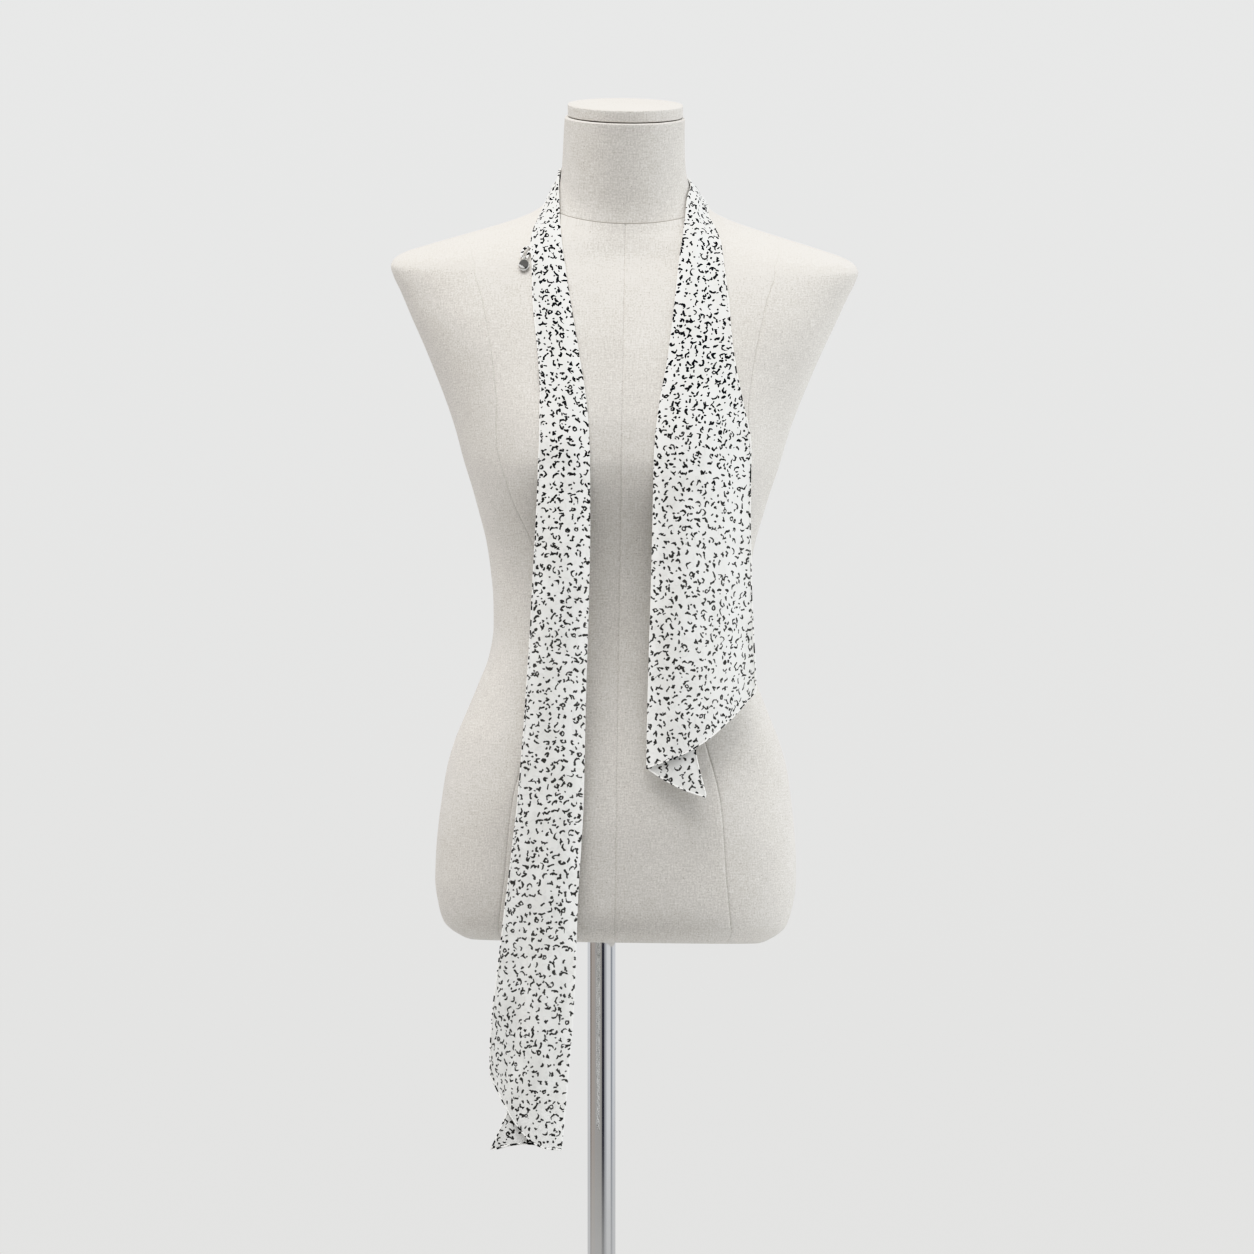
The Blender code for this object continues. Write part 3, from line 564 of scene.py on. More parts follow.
def seam_share(seam, height):
    """How deep a seam is drawn in: seams beside the centre end on the shoulder."""
    if seam in (0, 4, 8):
        return 1.0
    if seam in (2, 6):
        return 1.0 - math.exp(-(((height - 612.0) / 12.0) ** 2))
    return float(np.clip((646.0 - height) / 10.0, 0.0, 1.0))


def cover_heights():
    heights = [BODY[0][0]]
    for (low, *_), (high, *_) in zip(BODY, BODY[1:]):
        step = FINE_STEP if low < FINE_BELOW or low >= FINE_FROM else COARSE_STEP
        heights += steps_to(low, high, math.ceil((high - low) / step))
    return heights


def beside_seam(speed, room_left):
    """Angles from a seam to the close columns beside it, kept within the panel."""
    return [min(off / speed, room_left * (k + 1) / (len(BESIDE_SEAM) + 1))
            for k, (off, _) in enumerate(BESIDE_SEAM)]


def cover_row(height):
    """One ring of the cover with its seams drawn in, and the same ring without them."""
    seams = seam_angles(height)
    speed = [float(np.linalg.norm(np.diff(body_ring(height, np.array([a - 0.5, a + 0.5])),
                                          axis=0))) for a in seams]
    angles, drawn = [], []
    for n in range(PANELS):
        start, end = seams[n], seams[n + 1]
        depth, ahead = (SEAM_DEPTH * seam_share(seam, height) for seam in (n, n + 1))
        room_left = (end - start) / 2.2
        first, last = (beside_seam(speed[seam], room_left) for seam in (n, n + 1))
        angles += [start] + [start + a for a in first]
        angles += steps_to(start + first[-1], end - last[-1], PANEL_COLUMNS)[:-1]
        angles += [end - a for a in reversed(last)]
        drawn += [depth] + [depth * share for _, share in BESIDE_SEAM]
        drawn += [0.0] * (PANEL_COLUMNS - 1)
        drawn += [ahead * share for _, share in reversed(BESIDE_SEAM)]
    ring = body_ring(height, np.array(angles))
    tangent = np.roll(ring, -1, axis=0) - np.roll(ring, 1, axis=0)
    normal = unit(np.stack([tangent[:, 1], -tangent[:, 0], np.zeros(len(ring))], axis=1))
    return ring - normal * np.array(drawn)[:, None], ring


rows = [cover_row(h) for h in cover_heights()]
drawn_in = np.array([row[0] for row in rows])
smooth_body = np.array([row[1] for row in rows])
ROWS, COLUMNS = drawn_in.shape[:2]
BETWEEN = COLUMNS // PANELS
along_ring = distances(closed_rings(smooth_body), 1)
up_column = distances(smooth_body)
TURN_UNDER = 6  # rows at the foot of the cover that turn under
TOP_SHARE = 0.64  # a face that looks up by more than this is mapped from above
MAP_SHIFT = 700.0  # each panel is cut from another place of the cloth


def grain_of_cover():
    """Each corner's flat place: round the body from the centre, and up by its height."""
    across, up = np.zeros((ROWS, COLUMNS + 1)), np.zeros((ROWS, COLUMNS + 1))
    for c in range(COLUMNS + 1):
        panel = min(c // BETWEEN, PANELS - 1)
        middle = 4 * BETWEEN if 2 <= panel <= 5 else (0 if panel < 2 else COLUMNS)
        across[:, c] = along_ring[:, c] - along_ring[:, middle]
        line = smooth_body[:, middle % COLUMNS]
        rise = np.maximum.accumulate(line[:, 2] + np.arange(ROWS) * 1e-4)
        run = np.interp(smooth_body[:, c % COLUMNS, 2], rise, up_column[:, middle % COLUMNS])
        fold = up_column[:, c % COLUMNS]
        run[:TURN_UNDER] = run[TURN_UNDER] - fold[TURN_UNDER] + fold[:TURN_UNDER]
        up[:, c] = run
    return across, up


grain_across, grain_up = grain_of_cover()


def turned_in(ring, steps, middle):
    """Rings that carry an edge inwards: by how much, and how far up or down."""
    way = middle - ring
    way[:, 2] = 0.0
    way = unit(way)
    return [ring + way * inward + np.array((0.0, 0.0, rise)) for inward, rise in steps]


def make_cover():
    top = turned_in(drawn_in[-1], ((0.4, 0.35), (1.1, 0.5), (4.0, 0.3)),
                    drawn_in[-1].mean(axis=0))
    angles = np.radians(np.linspace(270.0, 630.0, COLUMNS, endpoint=False))
    x, y = BORE_RADIUS * np.cos(angles), BORE_RADIUS * np.sin(angles)
    tilted = -y * math.tan(math.radians(UNDERSIDE_TILT)) - (x - FORM_OFFSET) * FORM_ROLL
    bore = [np.stack([x, y, z], axis=1) for z in (np.full(COLUMNS, BORE_DEPTH), tilted)]
    rings = bore + list(drawn_in) + top
    points = np.concatenate(rings)
    faces, flat = ring_faces(len(rings), COLUMNS), []
    for n, face in enumerate(faces):
        r, c = divmod(n, COLUMNS)
        panel = c // BETWEEN
        here = points[face[0]]
        normal = np.cross(points[face[1]] - here, points[face[3]] - here)
        if r > len(bore) + TURN_UNDER and normal[2] > TOP_SHARE * np.linalg.norm(normal):
            shift = MAP_SHIFT * (panel + PANELS + 1)
            flat.append([tuple(points[i][:2] + shift) for i in face])
        else:
            k = int(np.clip(r - len(bore), 0, ROWS - 2))
            flat.append([(grain_across[a, b] + MAP_SHIFT * panel, grain_up[a, b])
                         for a, b in face_corners(k, c)])
    faces += end_faces(len(rings), COLUMNS)
    flat += [[(0.0, 0.0)] * COLUMNS] * 2
    return piece("dress_form_cover", points, faces, panel_linen, flat)


settle(make_cover(), "dress_form_torso")

# %% [markdown]
# Thread. Each seam shows as a dotted dark line where the stitches pull the linen down; the
# stitches' dark colour is partly painted shade of those dimples. Such a row of stitches is a
# job for Geometry Nodes: a path becomes a curve, the curve is cut into equal steps, and one
# small stitch is placed and turned along it at each step.

# %% Trees that follow a path


def path_tree(name, **inputs):
    """A Geometry Nodes tree with a path coming in, and named inputs for its sizes."""
    tree = bpy.data.node_groups.new(name, "GeometryNodeTree")
    face = tree.interface
    face.new_socket("Geometry", in_out="INPUT", socket_type="NodeSocketGeometry")
    for label, value in inputs.items():
        kind = "NodeSocketInt" if isinstance(value, int) else "NodeSocketFloat"
        face.new_socket(label, in_out="INPUT", socket_type=kind).default_value = value
    face.new_socket("Material", in_out="INPUT", socket_type="NodeSocketMaterial")
    face.new_socket("Geometry", in_out="OUTPUT", socket_type="NodeSocketGeometry")
    start, end = tree.nodes.new("NodeGroupInput"), tree.nodes.new("NodeGroupOutput")

    def node(kind, links=None, **settings):
        made = tree.nodes.new(kind)
        for key, value in settings.items():
            setattr(made, key, value)
        for key, value in (links or {}).items():
            if isinstance(value, bpy.types.NodeSocket):
                tree.links.new(value, made.inputs[key])
            else:
                made.inputs[key].default_value = value
        return made

    def close(shape):
        real = node("GeometryNodeRealizeInstances", {0: shape})
        painted = node("GeometryNodeSetMaterial", {
            "Geometry": real.outputs[0], "Material": start.outputs["Material"]})
        tree.links.new(painted.outputs[0], end.inputs[0])
        return tree

    return start, node, close


def even_steps(start, node, pitch):
    """The path as a curve, cut into equal steps of the length that one input gives."""
    curve = node("GeometryNodeMeshToCurve", {0: start.outputs["Geometry"]})
    sizes = {"Curve": curve.outputs[0], "Length": start.outputs[pitch]}
    return node("GeometryNodeResampleCurve", sizes, mode="LENGTH")


def stitch_tree():
    """Equal stitches along a path: a short thread with round ends at every step."""
    start, node, close = path_tree("stitches", Pitch=0.0024, Length=0.0016, Thickness=0.0003,
                                   Sides=5)
    steps = even_steps(start, node, "Pitch")
    tangent = node("GeometryNodeInputTangent")
    turn = node("FunctionNodeAlignRotationToVector", {"Vector": tangent.outputs[0]}, axis="X")
    sphere = node("GeometryNodeMeshUVSphere", {
        "Segments": start.outputs["Sides"], "Rings": 4, "Radius": 0.5})
    size = node("ShaderNodeCombineXYZ", {
        0: start.outputs["Length"], 1: start.outputs["Thickness"],
        2: start.outputs["Thickness"]})
    placed = node("GeometryNodeInstanceOnPoints", {
        "Points": steps.outputs[0], "Instance": sphere.outputs[0],
        "Rotation": turn.outputs[0], "Scale": size.outputs[0]})
    return close(placed.outputs[0])


def rope_tree():
    """A round rope of cloth along a path, with closed ends."""
    start, node, close = path_tree("rolled_edge", Radius=0.0006, Step=0.0025, Sides=8)
    steps = even_steps(start, node, "Step")
    ring = node("GeometryNodeCurvePrimitiveCircle", {
        "Resolution": start.outputs["Sides"], "Radius": start.outputs["Radius"]})
    rope = node("GeometryNodeCurveToMesh", {
        "Curve": steps.outputs[0], "Profile Curve": ring.outputs[0], "Fill Caps": True})
    smooth = node("GeometryNodeSetShadeSmooth", {"Geometry": rope.outputs[0]})
    return close(smooth.outputs[0])


STITCHES, ROLLED_EDGE = stitch_tree(), rope_tree()


def grown(name, paths, tree, finish, slot, **values):
    """Runs a tree along millimetre paths and gives the result as a plain piece on the stand."""
    points, edges = [], []
    for path in paths:
        edges += [(len(points) + i, len(points) + i + 1) for i in range(len(path) - 1)]
        points += [tuple((np.asarray(p) + UNDERSIDE) * MM) for p in path]
    mesh = bpy.data.meshes.new(name + "_path")
    mesh.from_pydata(points, edges, [])
    item = bpy.data.objects.new(name, mesh)
    scene.collection.objects.link(item)
    modifier = item.modifiers.new("grow", "NODES")
    modifier.node_group = tree
    sockets = {s.name: s.identifier for s in tree.interface.items_tree
               if s.in_out == "INPUT"}
    for label, value in {**values, "Material": finish}.items():
        modifier[sockets[label]] = value
    bpy.context.view_layer.update()
    evaluated = item.evaluated_get(bpy.context.evaluated_depsgraph_get())
    plain = bpy.data.meshes.new_from_object(evaluated)
    plain.name = name
    item.modifiers.clear()
    item.data = plain
    bpy.data.meshes.remove(mesh)
    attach(item, STAND)
    print(name, "-", len(paths), "paths,", triangles(item), "triangles")
    return item


# %% Stitches of the cover
LINEN_STITCH = {"Pitch": 0.0020, "Length": 0.0010, "Thickness": 0.00034}
SIDE_SEAMS_END = 642.0  # height at which the seams beside the centre run out
THREAD_PROUD = 0.12  # share of the crease's depth that the thread stands over its bottom

# The thread is real, and its dark colour is partly painted shade of the dimples the stitches
# pull.
seam_thread_and_shade, w, shader = material("seam_thread_and_shade", 0.8)
spot = w.node("TexCoord").outputs["Object"]
twist = w.noise(w.vector("MULTIPLY", spot, (900.0, 900.0, 2400.0)), 1.0)
w.surface(shader, w.blend(twist, (0.32, 0.30, 0.27, 1), (0.46, 0.435, 0.395, 1)))


def seam_path(seam):
    """The bottom of one seam's crease, a hair proud of the linen."""
    low, high = drawn_in[:, seam * BETWEEN], smooth_body[:, seam * BETWEEN]
    path = low + (high - low) * THREAD_PROUD
    if seam % 2:
        path = path[np.array(cover_heights()) < SIDE_SEAMS_END]
    return path[4:-1]


grown("cover_stitches", [seam_path(n) for n in range(PANELS)], STITCHES, seam_thread_and_shade,
      "torso_linen", **LINEN_STITCH)

# %% [markdown]
# The neck is a sleeve of the same linen with one seam at its back. Its lower edge is
# turned under where it meets the body, and the cap on top is a covered disc with a
# rounded rim and a narrow dark gap below it.

# %% Neck
NECK_COLUMNS = 144
NECK_STEP = 3.0


def make_neck():
    angles = np.linspace(90.0, 450.0, NECK_COLUMNS, endpoint=False)
    heights = [NECK[0][0]]
    for (low, *_), (high, *_) in zip(NECK, NECK[1:]):
        heights += steps_to(low, high, math.ceil((high - low) / NECK_STEP))
    body = [neck_ring(h, angles) for h in heights]
    under = turned_in(body[0], ((0.5, -0.1), (3.0, -0.1)), body[0].mean(axis=0))
    body[0] = body[0] + np.array((0.0, 0.0, 0.35))
    over = turned_in(body[-1], ((0.8, 0.3), (3.0, 0.35)), body[-1].mean(axis=0))
    grid = np.array(under[::-1] + body + over)
    round_it = distances(closed_rings(grid), 1)
    round_it -= round_it[:, NECK_COLUMNS // 2:NECK_COLUMNS // 2 + 1]
    up_it = np.concatenate([[0.0], np.cumsum(
        np.linalg.norm(np.diff(grid, axis=0), axis=2).mean(axis=1))])
    faces = ring_faces(len(grid), NECK_COLUMNS) + end_faces(len(grid), NECK_COLUMNS)
    flat = [[(round_it[i, j], up_it[i]) for i, j in face_corners(r, c)]
            for r in range(len(grid) - 1) for c in range(NECK_COLUMNS)]
    flat += [[(0.0, 0.0)] * NECK_COLUMNS] * 2
    back_seam = [ring[0] for ring in body]
    return piece("neck_cover", grid.reshape(-1, 3), faces, neck_linen, flat), back_seam


neck, neck_back_seam = make_neck()
settle(neck, "dress_form_neck")
grown("neck_stitches", [neck_back_seam[2:-2]], STITCHES, seam_thread_and_shade, "neck_linen",
      **LINEN_STITCH)
# A thin dark cord in the seam where the neck meets the body: a painted shadow of the gap.
neck_seam = neck_ring(NECK[0][0] + 0.1, np.linspace(90.0, 450.0, NECK_COLUMNS))
grown("neck_seam_shadow_cord", [neck_seam], ROLLED_EDGE, seam_thread_and_shade, "neck_linen", Radius=0.0004,
      Step=0.003, Sides=8)

# %% Cap of the neck
CAP_RADIUS, CAP_THICKNESS, CAP_TILT = 52.3, 11.2, 13.0
CAP_MIDDLE = (-11.05, 748.9)  # Y and height of the middle of its underside
CAP_ASIDE = -1.2  # right of the body's own middle
# The cap's outline from its underside to its top. Columns: how far in from the rim, height.
CAP_PROFILE = (
    (CAP_RADIUS, 0.25), (1.6, 0.25), (0.4, 0.45), (0.0, 1.0), (0.0, 3.0), (0.0, 5.5), (0.0, 8.0),
    (0.0, CAP_THICKNESS - 1.0), (0.12, CAP_THICKNESS - 0.55), (0.4, CAP_THICKNESS - 0.2),
    (0.95, CAP_THICKNESS), (CAP_RADIUS * 0.4, CAP_THICKNESS + 0.15),
    (CAP_RADIUS, CAP_THICKNESS + 0.25),
)
CAP_PROFILE = tuple((CAP_RADIUS - inward, high) for inward, high in CAP_PROFILE)
RIM_RINGS = range(1, 7)  # the faces over these rings stand on the rim


def make_cap():
    lean = math.radians(CAP_TILT)
    angles = np.radians(np.linspace(90.0, 450.0, NECK_COLUMNS, endpoint=False))
    rings, run = [], [0.0]
    for (r0, h0), (r1, h1) in zip(CAP_PROFILE, CAP_PROFILE[1:]):
        run.append(run[-1] + math.hypot(r1 - r0, h1 - h0))
    for radius, high in CAP_PROFILE[1:-1]:
        x, y = radius * np.cos(angles), radius * np.sin(angles)
        rings.append(np.stack([
            middle_x(CAP_MIDDLE[1]) + CAP_ASIDE + x,
            CAP_MIDDLE[0] + y * math.cos(lean) - high * math.sin(lean),
            CAP_MIDDLE[1] + y * math.sin(lean) + high * math.cos(lean) - x * FORM_ROLL,
        ], axis=1))
    points = np.concatenate(rings + [[rings[0].mean(axis=0)], [rings[-1].mean(axis=0)]])

    def disc_spot(ring, c):
        """The top and the underside are cut from a disc."""
        radius, angle = CAP_PROFILE[ring + 1][0], angles[c % NECK_COLUMNS]
        return (radius * math.cos(angle), radius * math.sin(angle))

    def rim_spot(ring, c):
        """The rim is a strip of cloth wound round."""
        return (CAP_RADIUS * 2 * math.pi * c / NECK_COLUMNS, run[ring + 1])

    faces = ring_faces(len(rings), NECK_COLUMNS)
    flat = [[(rim_spot if r in RIM_RINGS else disc_spot)(i, j) for i, j in face_corners(r, c)]
            for r in range(len(rings) - 1) for c in range(NECK_COLUMNS)]
    top, middles = len(rings) - 1, len(rings) * NECK_COLUMNS
    for c in range(NECK_COLUMNS):
        d = (c + 1) % NECK_COLUMNS
        faces.append((middles, d, c))
        faces.append((top * NECK_COLUMNS + c, top * NECK_COLUMNS + d, middles + 1))
        flat.append([(0.0, 0.0)] * 3)
        flat.append([disc_spot(top, c), disc_spot(top, d), (0.0, 0.0)])
    return piece("cap_cover", points, faces, cap_linen, flat)


settle(make_cap(), "neck_cap")

# %% [markdown]
# The stand. A chromed tube, a turned socket and a heavy painted plate are all round about
# one axis, so each is an outline spun about it. Chrome is a mirror with a trace of fine
# scratches round the tube. The plate's paint has the faint orange skin of powder coat.

# %% Finishes of the stand
chrome, w, shader = material("bright_chrome", 0.07, metal=1.0)
spot = w.node("TexCoord").outputs["Object"]
haze = w.noise(spot, 30.0, 3.0)
scratch = w.noise(w.vector("MULTIPLY", spot, (60.0, 60.0, 2600.0)), 1.0, 2.0)
w.surface(shader, w.blend(haze, (0.86, 0.86, 0.87, 1), (0.93, 0.93, 0.93, 1)),
          w.span(scratch, 0.2, 0.8, 0.05, 0.10))

powder_coat, w, shader = material("powder_coat", 0.45)
spot = w.node("TexCoord").outputs["Object"]
skin = w.noise(spot, 1100.0, 2.0)
wear = w.noise(spot, 9.0, 4.0)
w.surface(shader, w.blend(wear, (0.66, 0.655, 0.64, 1), (0.74, 0.735, 0.72, 1)),
          w.span(wear, 0.3, 0.7, 0.38, 0.50), (0.25, 0.0002, skin))

# %% Turned pieces of the stand
SPIN_STEPS, SPIN_SHARP = 128, 40.0
SEAT_GAP = 0.4
BASE_RADIUS, BASE_THICKNESS = 190.0, 8.0
SOCKET_RADIUS, SOCKET_HEIGHT = 24.0, 56.0
POLE_RADIUS, POLE_IN_FORM = 12.7, 58.0


def corner(radius, height, size, quarter):
    """Points of a rounded corner about its middle, a quarter turn from one direction."""
    return [(radius + size * math.cos(math.radians(quarter + a)),
             height + size * math.sin(math.radians(quarter + a)))
            for a in (0, 18, 36, 54, 72, 90)]


def spun(name, outline, finish):
    """A piece turned on the pole's axis from an outline of radius and height."""
    turns = np.linspace(0, 2 * math.pi, SPIN_STEPS, endpoint=False)
    points = [(r * math.cos(a), r * math.sin(a), z) for r, z in outline for a in turns]
    faces = ring_faces(len(outline), SPIN_STEPS, joined=True)
    item = outward(piece(name, points, faces, finish, lift=np.zeros(3), sharp=SPIN_SHARP))
    item.data.shade_smooth()
    item.data.set_sharp_from_angle(angle=math.radians(SPIN_SHARP))
    return item


PIN = 0.01  # radius at which a solid piece's ends close
RIM = 2.4
foot = BASE_THICKNESS + SEAT_GAP
bore = POLE_RADIUS + SEAT_GAP
top = FORM_UNDERSIDE + POLE_IN_FORM
base = spun("base_disc", [(PIN, 0.0)] + corner(BASE_RADIUS - 1.2, 1.2, 1.2, -90)
            + corner(BASE_RADIUS - RIM, BASE_THICKNESS - RIM, RIM, 0)
            + [(PIN, BASE_THICKNESS)], powder_coat)
settle(base, "base_plate")
socket = spun("pole_socket", [(bore, foot), (SOCKET_RADIUS + 6, foot)]
              + corner(SOCKET_RADIUS + 4.5, foot + 2.5, 1.5, 0)
              + [(SOCKET_RADIUS + 1.5, foot + 5.0), (SOCKET_RADIUS + 0.2, foot + 6.6),
                 (SOCKET_RADIUS - 0.3, foot + 9.0)]
              + corner(SOCKET_RADIUS - 4.2, foot + SOCKET_HEIGHT - 2.4, 2.4, 0)
              + [(bore + 0.8, foot + SOCKET_HEIGHT), (bore, foot + SOCKET_HEIGHT - 0.8)],
              powder_coat)
settle(socket, "base_socket")
pole = spun("pole_tube", [(PIN, foot)] + corner(POLE_RADIUS - 0.8, foot + 0.8, 0.8, -90)
            + corner(POLE_RADIUS - 0.8, top - 0.8, 0.8, 0) + [(PIN, top)], chrome)
settle(pole, "pole")

# %% [markdown]
# The cravat. It is one long strip of georgette folded down its length, so two layers
# hang from a soft fold. It goes round the neck without a knot: the long end on the left,
# the short end on the right, both slanting at the foot where the layers have slipped.
# The strip is laid on the form by rails: the fold, the front layer's free edge and the
# back layer's free edge. The rows below are those of the frame's solids.

# %% Rails of the cravat
# Round the neck. Columns: fold X, Y, height, free edge X, Y, height, and how far the
# back layer reaches from the fold as a share of the front layer's width.
ROUND_NECK = (
    (-27.3, -70.0, 576.0, -59.2, -58.0, 574.0, 0.62),
    (-31.0, -62.0, 600.0, -59.8, -46.0, 594.0, 0.66),
    (-34.4, -50.0, 625.0, -60.2, -34.0, 614.0, 0.72),
    (-36.0, -36.0, 647.0, -57.0, -20.0, 632.0, 0.78),
    (-36.6, -22.0, 668.0, -49.5, -6.0, 650.0, 0.84),
    (-37.2, -5.0, 687.0, -42.0, 6.0, 666.0, 0.88),
    (-36.2, 14.0, 703.5, -37.5, 24.0, 673.0, 0.90),
    (-25.0, 38.0, 709.0, -32.0, 46.0, 678.0, 0.90),
    (-10.0, 53.0, 715.0, -18.0, 67.0, 680.0, 0.90),
    (6.0, 61.0, 718.0, 4.0, 79.0, 681.0, 0.90),
    (22.0, 63.0, 719.0, 22.0, 82.0, 682.0, 0.90),
    (38.0, 61.0, 718.0, 40.0, 79.0, 681.0, 0.90),
    (54.0, 53.5, 713.0, 64.0, 68.0, 681.0, 0.90),
    (69.0, 37.5, 704.0, 81.5, 48.0, 677.0, 0.88),
    (77.0, 12.0, 692.0, 86.0, 22.0, 668.0, 0.84),
    (76.0, -14.0, 678.0, 88.5, 1.0, 656.0, 0.78),
    (75.0, -30.0, 660.0, 97.0, -14.0, 642.0, 0.72),
    (73.0, -40.0, 641.0, 102.5, -27.0, 625.0, 0.66),
    (70.2, -50.0, 619.0, 106.8, -37.0, 607.0, 0.60),
    (67.6, -58.0, 594.0, 109.6, -46.0, 587.0, 0.56),
)
# The hanging ends, from the chest down. Columns: fold X, height, front layer's free
# edge X, height, how far the front layer hangs below a straight line between them,
# then the same three for the back layer.
LONG_END = (
    (-20.0, 532.0, -55.8, 532.0, 0.0, -41.0, 532.0, 0.0),
    (-13.2, 487.0, -53.2, 487.0, 0.0, -36.0, 487.0, 0.0),
    (-10.0, 442.0, -54.0, 442.0, 0.0, -34.0, 442.0, 0.0),
    (-9.7, 380.0, -56.3, 380.0, 0.0, -34.0, 380.0, 0.0),
    (-10.9, 310.0, -60.3, 310.0, 0.0, -35.0, 310.0, 0.0),
    (-13.6, 221.0, -65.6, 222.0, 0.0, -38.0, 221.0, 0.0),
    (-15.5, 133.0, -72.2, 138.0, 0.0, -42.0, 133.0, 0.0),
    (-20.5, 44.5, -81.5, 60.0, 2.0, -49.0, 44.5, 0.0),
    (-23.8, -44.0, -90.5, -16.0, 7.0, -58.0, -44.0, 0.0),
    (-28.5, -106.0, -96.0, -64.0, 13.0, -70.0, -104.0, -1.0),
    (-31.8, -144.0, -97.4, -91.0, 17.0, -82.0, -142.0, -3.5),
    (-34.8, -176.5, -97.2, -112.0, 20.0, -97.2, -176.5, -5.5),
)
SHORT_END = (
    (60.2, 532.0, 117.2, 532.0, 0.0, 92.0, 532.0, 0.0),
    (52.5, 487.0, 124.5, 488.0, 0.0, 91.0, 487.0, 0.0),
    (47.6, 442.0, 132.6, 446.0, 0.0, 89.0, 442.0, 0.0),
    (46.2, 380.0, 132.4, 390.0, 0.0, 88.0, 379.0, 0.0),
    (44.4, 310.0, 133.0, 330.0, 2.0, 86.0, 306.0, 0.0),
    (42.4, 245.0, 135.0, 281.0, 5.0, 84.0, 238.0, 1.0),
    (41.2, 197.0, 136.8, 250.0, 8.0, 83.0, 182.0, 2.0),
    (40.6, 161.0, 137.4, 228.0, 11.0, 93.0, 135.0, 3.0),
)
# Soft ridges and troughs of the front layer. Columns: start and end along the strip from
# the foot of the long end, place across at the start and end as a share from the fold to
# the free edge, half width as such a share, height.
CREASES = (
    (-40.0, 170.0, 0.30, 0.44, 0.15, 1.9),
    (20.0, 270.0, 0.74, 0.62, 0.12, -1.5),
    (120.0, 420.0, 0.20, 0.30, 0.11, 1.2),
    (210.0, 480.0, 0.56, 0.50, 0.13, -1.4),
    (300.0, 575.0, 0.80, 0.73, 0.10, 1.1),
    (410.0, 640.0, 0.36, 0.27, 0.11, 0.9),
    (505.0, 725.0, 0.58, 0.66, 0.12, -1.0),
    (600.0, 800.0, 0.30, 0.42, 0.11, 1.0),
    (700.0, 905.0, 0.56, 0.46, 0.10, 1.3),
    (745.0, 960.0, 0.80, 0.74, 0.09, 1.1),
    (765.0, 935.0, 0.24, 0.30, 0.08, -0.9),
    (880.0, 1062.0, 0.50, 0.52, 0.10, 1.3),
    (905.0, 1100.0, 0.76, 0.70, 0.08, -1.1),
    (930.0, 1045.0, 0.24, 0.30, 0.08, 1.0),
    (1040.0, 1255.0, 0.36, 0.30, 0.10, 1.4),
    (1065.0, 1300.0, 0.70, 0.62, 0.10, -1.3),
    (1120.0, 1345.0, 0.86, 0.80, 0.08, 1.1),
    (1185.0, 1400.0, 0.20, 0.15, 0.08, 1.0),
    (1285.0, 1520.0, 0.45, 0.56, 0.13, -1.7),
    (1330.0, 1640.0, 0.72, 0.82, 0.10, 1.7),
    (1400.0, 1640.0, 0.28, 0.22, 0.11, 1.5),
    (1455.0, 1640.0, 0.92, 0.96, 0.05, -1.0),
    (64.0, 118.0, 1.00, 0.90, 0.10, 0.8),
    (176.0, 232.0, 0.97, 1.02, 0.09, -0.7),
    (262.0, 341.0, 1.02, 0.93, 0.08, 0.8),
    (388.0, 447.0, 0.96, 1.00, 0.10, -0.8),
    (471.0, 560.0, 1.00, 0.92, 0.07, 0.7),
    (612.0, 668.0, 0.96, 1.03, 0.09, 0.8),
    (699.0, 746.0, 1.01, 0.95, 0.08, -0.6),
    (801.0, 858.0, 0.95, 1.00, 0.08, 0.7),
    (1098.0, 1149.0, 1.02, 0.94, 0.08, 0.8),
    (1170.0, 1238.0, 0.95, 1.00, 0.07, -0.7),
    (1262.0, 1318.0, 1.00, 0.93, 0.07, 0.9),
    (1352.0, 1431.0, 0.97, 1.01, 0.06, -0.8),
)
BACK_LAYER_OFF_FORM = 1.1
LAYER_PITCH = 1.9
PUFF = 1.6
FREE_EDGE_OFF_FORM = 1.4
SHEET_THICKNESS = 0.40
# Shares of the front layer's width: how far past the back layer it starts to fall back to
# the form, over how much of it, and the least of it that falls.
FALL_AFTER, FALL_OVER, FALL_FROM = 0.03, 0.22, 0.92
FRONT_COLUMNS, BACK_COLUMNS, FOLD_COLUMNS = 29, 13, 5
STEP_ALONG = 4.2
# The stretches that show. Columns: name, first row, last row.
STRETCHES = (("long_end", 0, 18), ("back_neck", 18, 26), ("short_end", 26, 39))


class Form:
    """The body and neck as one surface that cloth can be laid on."""

    def __init__(self):
        angles = np.linspace(0.0, 360.0, 120, endpoint=False)
        body = [body_ring(h, angles) for h in cover_heights()]
        neck = [neck_ring(h, angles) for h in np.linspace(NECK[0][0], NECK[-1][0], 30)]
        points = [Vector(p) for ring in body + neck for p in ring]
        faces = ring_faces(len(body), len(angles))
        faces += ring_faces(len(neck), len(angles), first=len(body) * len(angles))
        self.tree = BVHTree.FromPolygons(points, faces)

    def front(self, x, height):
        hit = self.tree.ray_cast(Vector((x, -400.0, height)), Vector((0, 1, 0)))
        return hit[0].y if hit[0] is not None else 0.0

    def clear(self, point, distance):
        """The point itself, or moved out until it is this far from the form."""
        point = Vector(point)
        for _ in range(3):
            near, normal, _, _ = self.tree.find_nearest(point)
            if (point - near).dot(normal) >= distance:
                break
            point = near + normal * distance
        return np.array(point)


form = Form()


